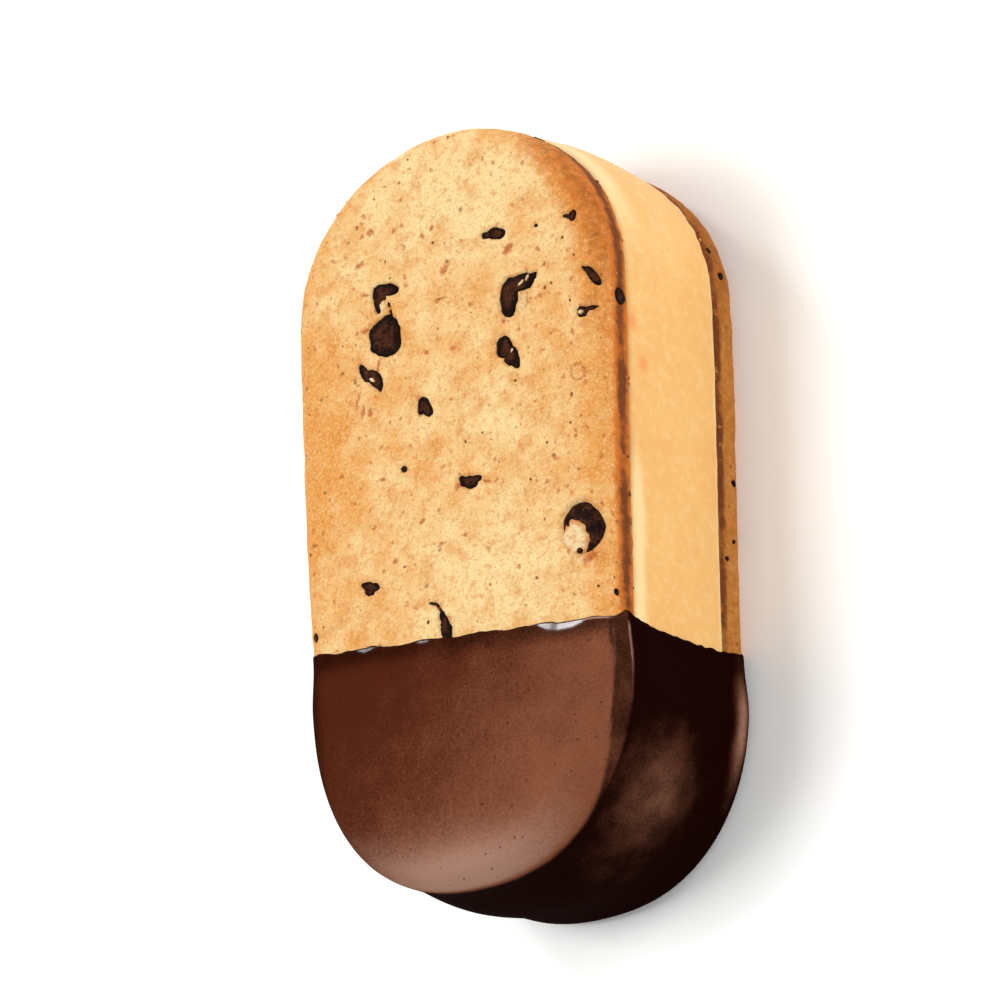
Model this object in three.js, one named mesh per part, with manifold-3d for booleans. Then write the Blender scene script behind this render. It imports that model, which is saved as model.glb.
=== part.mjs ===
// An oblong ice cream sandwich: two chocolate chip cookies round a slab of vanilla ice cream,
// with one end dipped in dark chocolate. It lies on its lower cookie.
//
// Millimetres. X runs across, Y along (bare end at +Y, dipped end at -Y), Z up from the table.
// The pieces are lofts of one oblong outline; chips are joined on and the coat is cut to its
// wavy edge with solid booleans.

import * as THREE from 'three';
import { mergeVertices } from 'three/addons/utils/BufferGeometryUtils.js';
import Module from 'manifold-3d';

const wasm = await Module();
wasm.setup();

// ---------------------------------------------------------------- driving dimensions

const LENGTH = 102; // a cookie, tip to tip
const WIDTH = 49; // a cookie, side to side, before its sides bow out
const STACK_HEIGHT = 31.9; // outer face to outer face
const COOKIE_THICKNESS = 6.5;
const RIM_RADIUS = 3.5; // round rim of a cookie's outer face
const EDGE_RADIUS = 0.6; // small round of the edge beside the ice cream
const SEAM_GAP = 0.3; // clearance between neighbouring solids

// The ends are superellipses: how far each reaches along Y, and how square it is.
const BARE_END = { depth: 23.8, power: 2.05 };
const DIPPED_END = { depth: 25.2, power: 2.35 };

// The long sides bow out, most of all on the bare half, and the bar is a little uneven.
const SIDE_BOW = { height: 1.2, crestY: 16 };
const TAPER = 0.45; // extra half width at the bare tip, and as much less at the dipped one
const BEND = { height: 0.15, startY: 10, length: 58 };

// The ice cream swells past the cookies, more at the ends than along the sides.
const SWELL = { side: 0.3, end: 0.9 };

const COAT_THICKNESS = 0.65;
const COAT_TIP_RUN = 0.45; // chocolate that ran down and set at the tip

// The edge of the dip: its place on the middle of the top, its slant across the width, the rise
// where chocolate crept along the upper seam, and the scallops of its drips.
const DIP_EDGE = { y: -19.1, slant: -0.09, creep: 1.1, creepHeight: 4 };
const DRIPS = [
  { height: 0.32, length: 9.5, phase: 0.4 },
  { height: 0.16, length: 4.1, phase: 2.0 },
];

const END_STEPS = 18; // outline points in a quarter of an end
const SIDE_STEPS = 9; // outline points along a straight side
const RIM_STEPS = 5; // rings round a rim
const CUT_STEP = 2; // grid of the dip's cutting surface
const CHIP_SIDES = 9;
const CHIP_SINK = 0.8; // depth of a chip inside the cookie
const CHIP_RISE = 0.4; // height of a chip over the cookie
const STEEPEST = 0.98; // how far round the rim, of its radius, a chip may sit

// Chocolate chips that break the outer face of the upper cookie: centre, length, width, turn.
const TOP_CHIPS = [
  { x: 9.3, y: 34.0, length: 4.6, width: 2.0, turn: -12 },
  { x: 21.0, y: 33.9, length: 2.4, width: 2.0, turn: 35 },
  { x: 12.8, y: 24.8, length: 8.0, width: 4.4, turn: 42 },
  { x: 11.0, y: 17.1, length: 5.6, width: 3.4, turn: -62 },
  { x: -9.4, y: 29.6, length: 5.0, width: 3.0, turn: 50 },
  { x: -9.8, y: 24.1, length: 6.6, width: 5.6, turn: 15 },
  { x: -12.4, y: 19.2, length: 5.6, width: 3.0, turn: -48 },
  { x: -3.3, y: 12.9, length: 3.4, width: 2.6, turn: 80 },
  { x: 3.9, y: 1.1, length: 5.4, width: 2.0, turn: -8 },
  { x: 21.3, y: -8.7, length: 7.4, width: 6.0, turn: 25 },
  { x: -13.4, y: -9.8, length: 3.6, width: 2.2, turn: -10 },
  { x: 24.5, y: 24.7, length: 3.6, width: 2.0, turn: -60 },
  { x: 23.8, y: 20.3, length: 4.6, width: 2.0, turn: 15 },
];

// Chips at the rim of the lower cookie: how far round its outline, and their size.
const LOWER_RIM_CHIPS = [
  { y: 2.4, side: 1, size: 2.4 },
  { y: -6.4, side: 1, size: 2.6 },
  { y: 31.0, side: 1, size: 2.2 },
  { y: 12.0, side: -1, size: 2.6 },
  { y: 37.0, side: -1, size: 2.2 },
];

const COLOURS = {
  cookie: 0xf0bd7c,
  iceCream: 0xfacb82,
  chocolate: 0x3a1a10,
};

// ---------------------------------------------------------------- derived sizes

const SEAM_LOW = COOKIE_THICKNESS;
const SEAM_HIGH = STACK_HEIGHT - COOKIE_THICKNESS;
const COAT_REACH = SEAM_GAP + COAT_THICKNESS; // outer face of the coat over the cookie

// ---------------------------------------------------------------- outline and lofts

/**
 * One point of a rounded end, on the side x >= 0; t runs from 0 at the tip to 1 where the side
 * is straight. The end is moved out by offset, swollen by a part of SWELL and run out at its tip.
 */
function endPoint(end, t, { offset, swell = 0, run = 0 }) {
  const angle = (t * Math.PI) / 2;
  const tipward = Math.cos(angle) ** (2 / end.power);
  const out = offset + swell * (SWELL.side + (SWELL.end - SWELL.side) * tipward);
  const x = (WIDTH / 2 + out) * Math.sin(angle) ** (2 / end.power);
  const y = LENGTH / 2 - end.depth + (end.depth + out) * tipward + run * tipward ** 2;
  return [x, y];
}

/** Half outline, x >= 0, from the dipped tip to the bare tip. */
function halfOutline(shape) {
  const points = [];
  for (let i = 0; i <= END_STEPS; i += 1) {
    const [x, y] = endPoint(DIPPED_END, i / END_STEPS, shape);
    points.push([x, -y]);
  }
  const straight = points.at(-1)[0];
  const from = DIPPED_END.depth - LENGTH / 2;
  const to = LENGTH / 2 - BARE_END.depth;
  for (let i = 1; i < SIDE_STEPS; i += 1) {
    points.push([straight, from + ((to - from) * i) / SIDE_STEPS]);
  }
  for (let i = END_STEPS; i >= 0; i -= 1) {
    points.push(endPoint(BARE_END, i / END_STEPS, { ...shape, run: 0 }));
  }
  return points.map(([x, y]) => [x * bowAt(y), y]);
}

/** Sideways shift of the bar's slight unevenness. */
function bendAt(y) {
  return BEND.height * Math.sin((2 * Math.PI * (y - BEND.startY)) / BEND.length);
}

/** Factor on X of the bowed, slightly tapered sides. */
function bowAt(y) {
  const bow = SIDE_BOW.height * (1 - ((y - SIDE_BOW.crestY) / (LENGTH / 2)) ** 2);
  const taper = (TAPER * y) / (LENGTH / 2);
  return 1 + (bow + taper) / (WIDTH / 2);
}

/** Closed ring of points at a height. */
function ring({ z, ...shape }) {
  const right = halfOutline(shape);
  const left = right.slice(1, -1).reverse().map(([x, y]) => [-x, y]);
  return [...right, ...left].map(([x, y]) => new THREE.Vector3(x + bendAt(y), y, z));
}

/** Closed solid through rings given from low to high, with flat ends. */
function loft(stations) {
  const rings = stations.map(ring);
  const count = rings[0].length;
  const half = count / 2;
  const index = [];
  for (let level = 0; level < rings.length - 1; level += 1) {
    for (let i = 0; i < count; i += 1) {
      const a = level * count + i;
      const b = level * count + ((i + 1) % count);
      index.push(a, b, b + count, a, b + count, a + count);
    }
  }
  const top = (rings.length - 1) * count;
  for (let k = 0; k < half; k += 1) {
    const rightNow = k;
    const rightNext = k + 1;
    const leftNow = (count - k) % count;
    const leftNext = count - k - 1;
    if (k > 0) {
      index.push(top + leftNow, top + rightNow, top + rightNext);
      index.push(leftNow, rightNext, rightNow);
    }
    if (k < half - 1) {
      index.push(top + leftNow, top + rightNext, top + leftNext);
      index.push(leftNow, leftNext, rightNext);
    }
  }
  const geometry = new THREE.BufferGeometry().setFromPoints(rings.flat());
  geometry.setIndex(index);
  return geometry;
}

/** Rim of an outer face, from its full width up onto the face, for a cookie based at z = 0. */
function rimStations(top, reach) {
  const radius = RIM_RADIUS + reach;
  const stations = [];
  for (let i = 0; i <= RIM_STEPS; i += 1) {
    const angle = (i / RIM_STEPS) * (Math.PI / 2);
    stations.push({
      offset: radius * Math.cos(angle) - RIM_RADIUS,
      z: top - RIM_RADIUS + radius * Math.sin(angle),
    });
  }
  return stations;
}

/** Stations turned upside down about the middle of a height. */
function flipped(stations, height) {
  return stations.map((station) => ({ ...station, z: height - station.z })).reverse();
}

// ---------------------------------------------------------------- booleans

/** Welded copy of a geometry as a boolean solid. */
function solid(geometry) {
  const bare = geometry.clone();
  bare.deleteAttribute('normal');
  bare.deleteAttribute('uv');
  const welded = mergeVertices(bare, 1e-4);
  return new wasm.Manifold(new wasm.Mesh({
    numProp: 3,
    vertProperties: new Float32Array(welded.attributes.position.array),
    triVerts: new Uint32Array(welded.index.array),
  }));
}

/** Boolean solid back to a geometry. */
function geometryOf(body) {
  const mesh = body.getMesh();
  const geometry = new THREE.BufferGeometry();
  geometry.setAttribute('position', new THREE.BufferAttribute(new Float32Array(mesh.vertProperties), 3));
  geometry.setIndex(new THREE.BufferAttribute(new Uint32Array(mesh.triVerts), 1));
  return geometry;
}

// ---------------------------------------------------------------- the dip

/** Y of the edge of the chocolate at a place across and up the sandwich. */
function dipEdge(x, z) {
  const fromSeam = (z - SEAM_HIGH) / DIP_EDGE.creepHeight;
  const creep = DIP_EDGE.creep * Math.exp(-(fromSeam ** 2)) * Math.abs(x) / (WIDTH / 2);
  const drips = DRIPS.reduce((sum, { height, length, phase }) => {
    const acrossAndUp = x + 0.8 * z;
    return sum + height * Math.sin((2 * Math.PI * acrossAndUp) / length + phase);
  }, 0);
  return DIP_EDGE.y + DIP_EDGE.slant * x + creep + drips;
}

/** Solid that holds everything on the dipped side of the edge, between two heights. */
function dippedSide(low, high, shift) {
  const span = WIDTH + 20;
  const far = -LENGTH;
  const box = new THREE.BoxGeometry(
    span, -far, high - low,
    Math.round(span / CUT_STEP), 1, Math.max(1, Math.round((high - low) / CUT_STEP)),
  );
  box.translate(0, far / 2, (low + high) / 2);
  const place = box.attributes.position;
  for (let i = 0; i < place.count; i += 1) {
    if (place.getY(i) > far / 2) {
      place.setY(i, dipEdge(place.getX(i), place.getZ(i)) + shift);
    }
  }
  return solid(box);
}

// ---------------------------------------------------------------- chips

/** Height of the upper cookie's outer face, which falls away round its rim. */
function faceHeight(x, y) {
  const place = new THREE.Vector2(Math.abs(x - bendAt(y)), y);
  const outline = halfOutline({ offset: 0 }).map(([across, along]) => new THREE.Vector2(across, along));
  const fromEdge = outline.slice(1).map((end, i) => {
    const step = end.clone().sub(outline[i]);
    const part = THREE.MathUtils.clamp(place.clone().sub(outline[i]).dot(step) / step.lengthSq(), 0, 1);
    return step.multiplyScalar(part).add(outline[i]).distanceTo(place);
  });
  const intoRim = THREE.MathUtils.clamp(RIM_RADIUS - Math.min(...fromEdge), 0, RIM_RADIUS * STEEPEST);
  return STACK_HEIGHT - RIM_RADIUS + Math.sqrt(RIM_RADIUS ** 2 - intoRim ** 2);
}

/** A chip: a low crumpled dome on a sunk foot, centred on the surface at the origin. */
function chipGeometry(length, width, seed) {
  const draw = (i) => {
    const value = Math.sin(seed * 12.9898 + i * 78.233) * 43758.5453;
    return value - Math.floor(value);
  };
  const levels = [
    { z: -CHIP_SINK, scale: 0.7 },
    { z: CHIP_RISE * 0.3, scale: 1 },
    { z: CHIP_RISE, scale: 0.55 },
  ];
  const points = levels.flatMap(({ z, scale }) => Array.from({ length: CHIP_SIDES }, (_, i) => {
    const angle = (2 * Math.PI * i) / CHIP_SIDES;
    const uneven = scale * (0.85 + 0.3 * draw(i));
    return new THREE.Vector3(
      (length / 2) * uneven * Math.cos(angle), (width / 2) * uneven * Math.sin(angle), z,
    );
  }));
  const index = [];
  for (let level = 0; level < levels.length - 1; level += 1) {
    for (let i = 0; i < CHIP_SIDES; i += 1) {
      const a = level * CHIP_SIDES + i;
      const b = level * CHIP_SIDES + ((i + 1) % CHIP_SIDES);
      index.push(a, b, b + CHIP_SIDES, a, b + CHIP_SIDES, a + CHIP_SIDES);
    }
  }
  const last = (levels.length - 1) * CHIP_SIDES;
  for (let i = 1; i < CHIP_SIDES - 1; i += 1) {
    index.push(0, i + 1, i);
    index.push(last, last + i, last + i + 1);
  }
  const geometry = new THREE.BufferGeometry().setFromPoints(points);
  geometry.setIndex(index);
  return geometry;
}

/** The upper cookie's chips, each laid on the face. */
function topChips() {
  return TOP_CHIPS.map(({ x, y, length, width, turn }, seed) => {
    const slope = new THREE.Vector3(
      faceHeight(x - 0.5, y) - faceHeight(x + 0.5, y), faceHeight(x, y - 0.5) - faceHeight(x, y + 0.5), 1,
    ).normalize();
    const lean = new THREE.Quaternion().setFromUnitVectors(new THREE.Vector3(0, 0, 1), slope);
    const geometry = chipGeometry(length, width, seed + 1);
    geometry.rotateZ(THREE.MathUtils.degToRad(turn));
    geometry.applyQuaternion(lean);
    geometry.translate(x, y, faceHeight(x, y));
    return solid(geometry);
  });
}

/** The lower cookie's chips, which break the side of its rim. */
function lowerRimChips() {
  return LOWER_RIM_CHIPS.map(({ y, side, size }, seed) => {
    const outline = halfOutline({ offset: 0 });
    const after = outline.findIndex((point) => point[1] > y);
    const [ax, ay] = outline[after - 1];
    const [bx, by] = outline[after];
    const across = ax + ((bx - ax) * (y - ay)) / (by - ay);
    const geometry = chipGeometry(size, size * 0.8, seed + 31);
    geometry.rotateY((side * Math.PI) / 2);
    geometry.rotateZ(side * Math.atan2(ax - bx, by - ay));
    geometry.translate(side * across + bendAt(y), y, COOKIE_THICKNESS * 0.6);
    return solid(geometry);
  });
}

// ---------------------------------------------------------------- pieces

/** A cookie from its inner face at z = 0 up to its rounded outer face. */
function cookieStations() {
  return [
    { offset: -EDGE_RADIUS, z: 0 },
    { offset: 0, z: EDGE_RADIUS },
    ...rimStations(COOKIE_THICKNESS, 0),
  ];
}

function cookieTop() {
  const stations = cookieStations().map((station) => ({ ...station, z: station.z + SEAM_HIGH }));
  return geometryOf(topChips().reduce((body, chip) => body.add(chip), solid(loft(stations))));
}

/** The lower cookie; under the coat its face is raised, so that the coat is level with it. */
function cookieBottom() {
  const plain = solid(loft(flipped(cookieStations(), COOKIE_THICKNESS)));
  const raised = plain.subtract(dippedSide(-1, COAT_REACH, SEAM_GAP));
  return geometryOf(lowerRimChips().reduce((body, chip) => body.add(chip), raised));
}

/** The slab between the cookies, right through to the dipped end. */
function iceCream() {
  const low = SEAM_LOW + SEAM_GAP;
  const high = SEAM_HIGH - SEAM_GAP;
  const rise = high - low;
  return loft([
    { offset: -0.7, z: low },
    { offset: -0.1, z: low + 0.8 },
    { offset: 0, z: low + rise * 0.25, swell: 0.75 },
    { offset: 0, z: low + rise * 0.5, swell: 1 },
    { offset: 0, z: low + rise * 0.75, swell: 0.8 },
    { offset: -0.1, z: high - 0.8 },
    { offset: -0.7, z: high },
  ]);
}

/** Stations round the whole stack at a reach from its surface, cut off level at a floor. */
function stackStations(reach, floor, run) {
  const rim = rimStations(STACK_HEIGHT, reach);
  const lowerRim = flipped(rim, STACK_HEIGHT).filter(({ z }) => z > floor + 0.2);
  const radius = RIM_RADIUS + reach;
  const atFloor = Math.sqrt(radius ** 2 - (RIM_RADIUS - floor) ** 2) - RIM_RADIUS;
  const swollen = [0.25, 0.5, 0.75].map((part, i) => ({
    offset: reach,
    z: SEAM_LOW + (SEAM_HIGH - SEAM_LOW) * part,
    swell: [0.75, 1, 0.8][i],
  }));
  return [
    { offset: atFloor, z: floor },
    ...lowerRim,
    { offset: reach, z: SEAM_LOW },
    ...swollen,
    { offset: reach, z: SEAM_HIGH },
    ...rim,
  ].map((station) => ({ ...station, run }));
}

/** The chocolate: a thin cup over the dipped end, with a wavy edge. */
function chocolateCoat() {
  const outside = solid(loft(stackStations(COAT_REACH, 0, COAT_TIP_RUN)));
  const inside = solid(loft(stackStations(SEAM_GAP, COAT_THICKNESS, 0)));
  const cut = dippedSide(-5, STACK_HEIGHT + 5, 0);
  return geometryOf(outside.subtract(inside).intersect(cut));
}

// ---------------------------------------------------------------- the sandwich

/** A named piece with its own finish. */
function piece(name, geometry, colour, roughness) {
  const material = new THREE.MeshStandardMaterial({ color: colour, roughness, metalness: 0 });
  const mesh = new THREE.Mesh(geometry, material);
  mesh.name = name;
  return mesh;
}

const iceCreamSandwich = new THREE.Group();
iceCreamSandwich.name = 'ice_cream_sandwich';
iceCreamSandwich.add(
  piece('cookie_bottom', cookieBottom(), COLOURS.cookie, 0.85),
  piece('ice_cream', iceCream(), COLOURS.iceCream, 0.55),
  piece('cookie_top', cookieTop(), COLOURS.cookie, 0.85),
  piece('chocolate_coat', chocolateCoat(), COLOURS.chocolate, 0.35),
);

// The origin is the middle of the footprint, on the table.
const extent = new THREE.Box3().setFromObject(iceCreamSandwich);
const middle = extent.getCenter(new THREE.Vector3());
iceCreamSandwich.position.set(-middle.x, -middle.y, -extent.min.z);
iceCreamSandwich.updateMatrixWorld(true);

export default iceCreamSandwich;
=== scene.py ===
"""Looks of an oblong ice cream sandwich.

Two chocolate chip cookies hold a slab of vanilla ice cream, and one end is dipped in dark
chocolate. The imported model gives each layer's place. Every layer is built here again as a fine
mesh over the same oblong, with baked relief, chips, crumbs and a poured coat.

Sizes are in millimetres until a mesh is made, which is in metres.
"""

from __future__ import annotations

import logging
import math
from dataclasses import dataclass, field
from enum import Enum

import bpy
import numpy as np
from mathutils import Matrix, Vector

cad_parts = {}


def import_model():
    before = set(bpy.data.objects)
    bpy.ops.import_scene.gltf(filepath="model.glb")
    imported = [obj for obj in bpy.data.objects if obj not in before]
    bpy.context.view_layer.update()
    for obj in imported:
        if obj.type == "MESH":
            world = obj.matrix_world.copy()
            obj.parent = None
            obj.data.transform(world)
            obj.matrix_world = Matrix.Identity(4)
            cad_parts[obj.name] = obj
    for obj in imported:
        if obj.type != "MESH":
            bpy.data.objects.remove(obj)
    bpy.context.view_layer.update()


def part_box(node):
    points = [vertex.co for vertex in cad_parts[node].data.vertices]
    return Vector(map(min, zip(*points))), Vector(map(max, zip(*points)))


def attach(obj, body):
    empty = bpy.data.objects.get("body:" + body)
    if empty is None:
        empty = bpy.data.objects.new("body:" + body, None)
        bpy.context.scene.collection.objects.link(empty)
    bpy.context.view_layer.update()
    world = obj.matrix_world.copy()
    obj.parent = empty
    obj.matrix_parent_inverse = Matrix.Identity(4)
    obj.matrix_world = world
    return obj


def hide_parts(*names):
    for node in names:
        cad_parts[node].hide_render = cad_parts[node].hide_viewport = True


Array = np.ndarray
Triple = tuple[float, float, float]
Colour = tuple[float, float, float, float]
Socket = bpy.types.NodeSocket
Material = bpy.types.Material
Piece = bpy.types.Object

LOG = logging.getLogger("ice_cream_sandwich")
MM = 0.001


# ---------------------------------------------------------------------------- plain helpers


def smooth_step(value: Array, low: float, high: float) -> Array:
    """Rise from 0 at low to 1 at high, with soft ends; low may be the larger."""
    part = np.clip((value - low) / (high - low), 0.0, 1.0)
    return part * part * (3.0 - 2.0 * part)


def bell(value: Array, centre: float, width: float) -> Array:
    """Bell curve of height 1."""
    return np.exp(-(((value - centre) / width) ** 2))


def strongest(*marks: Array) -> Array:
    """The largest of several marks at each point."""
    return np.maximum.reduce(marks)


def srgb(red: int, green: int, blue: int) -> Colour:
    """Linear colour of a display colour.

    Args:
        red: Red, 0 to 255.
        green: Green, 0 to 255.
        blue: Blue, 0 to 255.

    Returns:
        Linear red, green, blue and an alpha of 1.
    """
    parts = [channel / 255.0 for channel in (red, green, blue)]
    linear = [part / 12.92 if part <= 0.04045 else ((part + 0.055) / 1.055) ** 2.4 for part in parts]
    return (*linear, 1.0)


def add_node(tree: bpy.types.NodeTree, kind: str, inputs: dict, **settings: object) -> bpy.types.Node:
    """Adds a node to a tree.

    Args:
        tree: The node tree.
        kind: The node's type.
        inputs: For each input, by name or number, the output to link to it or its constant.
        **settings: The node's own options.

    Returns:
        The new node.
    """
    node = tree.nodes.new(kind)
    for name, value in settings.items():
        setattr(node, name, value)
    for name, value in inputs.items():
        if isinstance(value, Socket):
            tree.links.new(value, node.inputs[name])
        else:
            node.inputs[name].default_value = value
    return node


class Grain:
    """Seeded three-dimensional noise over arrays of points in millimetres."""

    def __init__(self, seed: int) -> None:
        """Keeps the seed of every draw."""
        self.seed = seed

    def _draw(self, cell: Array, channel: int) -> Array:
        """One even random number, 0 to 1, for each whole cell.

        Args:
            cell: Whole cell numbers, one row each.
            channel: Which of a cell's numbers to draw.

        Returns:
            One number for each cell.
        """
        steps = cell.astype(np.int64).astype(np.uint32)
        mixed = steps[..., 0] * np.uint32(374761393)
        mixed = mixed + steps[..., 1] * np.uint32(668265263)
        mixed = mixed + steps[..., 2] * np.uint32(2246822519)
        mixed = mixed + np.uint32((self.seed * 3266489917 + channel * 974634777) % 2**32)
        mixed = (mixed ^ (mixed >> np.uint32(13))) * np.uint32(1274126177)
        mixed = mixed ^ (mixed >> np.uint32(16))
        mixed = (mixed * np.uint32(2654435761)) >> np.uint32(8)
        return mixed.astype(np.float64) / 2**24

    def soft(self, points: Array, size: float) -> Array:
        """Smooth noise from -1 to 1.

        Args:
            points: Places, one row each.
            size: Width of a bump.

        Returns:
            One value for each place.
        """
        scaled = points / size
        base = np.floor(scaled)
        part = smooth_step(scaled - base, 0.0, 1.0)
        total = np.zeros(len(points))
        for corner in np.ndindex(2, 2, 2):
            weight = np.prod(np.where(corner, part, 1.0 - part), axis=1)
            total += weight * self._draw(base + np.array(corner), 0)
        return total * 2.0 - 1.0

    def rough(self, points: Array, size: float, octaves: int) -> Array:
        """Noise with ever finer detail, from about -1 to 1.

        Args:
            points: Places, one row each.
            size: Width of the broadest bumps.
            octaves: How many layers of detail, each half as wide and high as the last.

        Returns:
            One value for each place.
        """
        layers = range(octaves)
        return sum(self.soft(points + 17.3 * n, size / 2**n) / 2**n for n in layers) / 1.5

    def spots(self, points: Array, cell: float, share: float) -> Array:
        """Scattered round spots: 1 at a spot's middle, 0 away from spots.

        Args:
            points: Places, one row each.
            cell: Spacing of the spots.
            share: Share of the cells that hold a spot.

        Returns:
            One value for each place.
        """
        scaled = points / cell
        base = np.floor(scaled)
        best = np.zeros(len(points))
        for offset in np.ndindex(3, 3, 3):
            home = base + np.array(offset) - 1
            middle = np.stack([self._draw(home, 1 + axis) for axis in range(3)], axis=1)
            radius = 0.18 + 0.34 * self._draw(home, 4)
            distance = np.linalg.norm(scaled - home - middle, axis=1)
            spot = np.clip(1.0 - distance / radius, 0.0, 1.0)
            best = np.maximum(best, np.where(self._draw(home, 5) < share, spot, 0.0))
        return best


# ---------------------------------------------------------------------------- meshes


@dataclass
class Sheet:
    """Points and faces that grow into one mesh, in millimetres."""

    points: Array
    faces: Array
    marks: dict[str, Array] = field(default_factory=dict)

    @staticmethod
    def joined(parts: list[Sheet]) -> Sheet:
        """One sheet that holds several, with the marks that all of them have.

        Args:
            parts: The sheets.

        Returns:
            The joined sheet.
        """
        starts = np.cumsum([0] + [len(part.points) for part in parts])
        faces = [part.faces + start for part, start in zip(parts, starts)]
        names = set.intersection(*[set(part.marks) for part in parts])
        marks = {name: np.concatenate([part.marks[name] for part in parts]) for name in names}
        return Sheet(np.concatenate([part.points for part in parts]), np.concatenate(faces), marks)

    @staticmethod
    def stacked(rings: list[Array]) -> Sheet:
        """One closed sheet through a stack of rings, whose end rings are zipped shut.

        Args:
            rings: Rings of as many points, each counter-clockwise from above, lowest first.

        Returns:
            The sheet, facing outwards.
        """
        around = len(rings[0])
        right = np.arange(around // 2 + 1)
        left = (around - right) % around
        top = (len(rings) - 1) * around
        caps = [ladder_faces(right + top, left + top), ladder_faces(left, right)]
        return Sheet(np.concatenate(rings), np.concatenate([grid_faces(len(rings), around, True), *caps]))

    def normals(self) -> Array:
        """Outward direction at each point, from the faces round it.

        Returns:
            One unit vector for each point.
        """
        a, b, c, d = (self.points[self.faces[:, corner]] for corner in range(4))
        face_normal = np.cross(c - a, d - b)
        total = np.zeros_like(self.points)
        for corner in range(4):
            np.add.at(total, self.faces[:, corner], face_normal)
        return total / np.maximum(np.linalg.norm(total, axis=1, keepdims=True), 1e-12)

    def build(self, name: str, finish: Material) -> Piece:
        """Makes the Blender object, with equal corners of a face dropped.

        Args:
            name: The piece's name.
            finish: Its material.

        Returns:
            The object, at the origin, with its place in its mesh.
        """
        mesh = bpy.data.meshes.new(name)
        faces = [tuple(dict.fromkeys(face)) for face in self.faces.tolist()]
        mesh.from_pydata((self.points * MM).tolist(), [], [face for face in faces if len(face) > 2])
        for mark, values in self.marks.items():
            layer = mesh.attributes.new(mark, "FLOAT", "POINT")
            layer.data.foreach_set("value", values.astype(np.float32))
        mesh.materials.append(finish)
        mesh.validate()
        return shown(name, mesh)


def shown(name: str, mesh: bpy.types.Mesh) -> Piece:
    """Puts a mesh in the scene, smoothly shaded, as an object at the origin.

    Args:
        name: The piece's name.
        mesh: Its finished mesh.

    Returns:
        The new object.
    """
    mesh.polygons.foreach_set("use_smooth", [True] * len(mesh.polygons))
    mesh.update()
    piece = bpy.data.objects.new(name, mesh)
    bpy.context.scene.collection.objects.link(piece)
    return piece


def grid_faces(rows: int, columns: int, closed: bool) -> Array:
    """Quads of a grid of points; a closed grid joins its last column to its first.

    Args:
        rows: Rows of points.
        columns: Points in a row.
        closed: Whether each row is a ring.

    Returns:
        Four point numbers for each face.
    """
    row = np.arange(rows - 1)[:, None] * columns
    column = np.arange(columns if closed else columns - 1)[None, :]
    after = (column + 1) % columns
    quads = [row + column, row + after, row + columns + after, row + columns + column]
    return np.stack(quads, axis=-1).reshape(-1, 4)


def ladder_faces(first: Array, second: Array) -> Array:
    """Quads between two lines of as many points."""
    return np.stack([first[:-1], first[1:], second[1:], second[:-1]], axis=-1)


# ---------------------------------------------------------------------------- the oblong


@dataclass(frozen=True)
class RoundEnd:
    """A rounded end: its reach along Y and its squareness."""

    depth: float
    power: float


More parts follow.
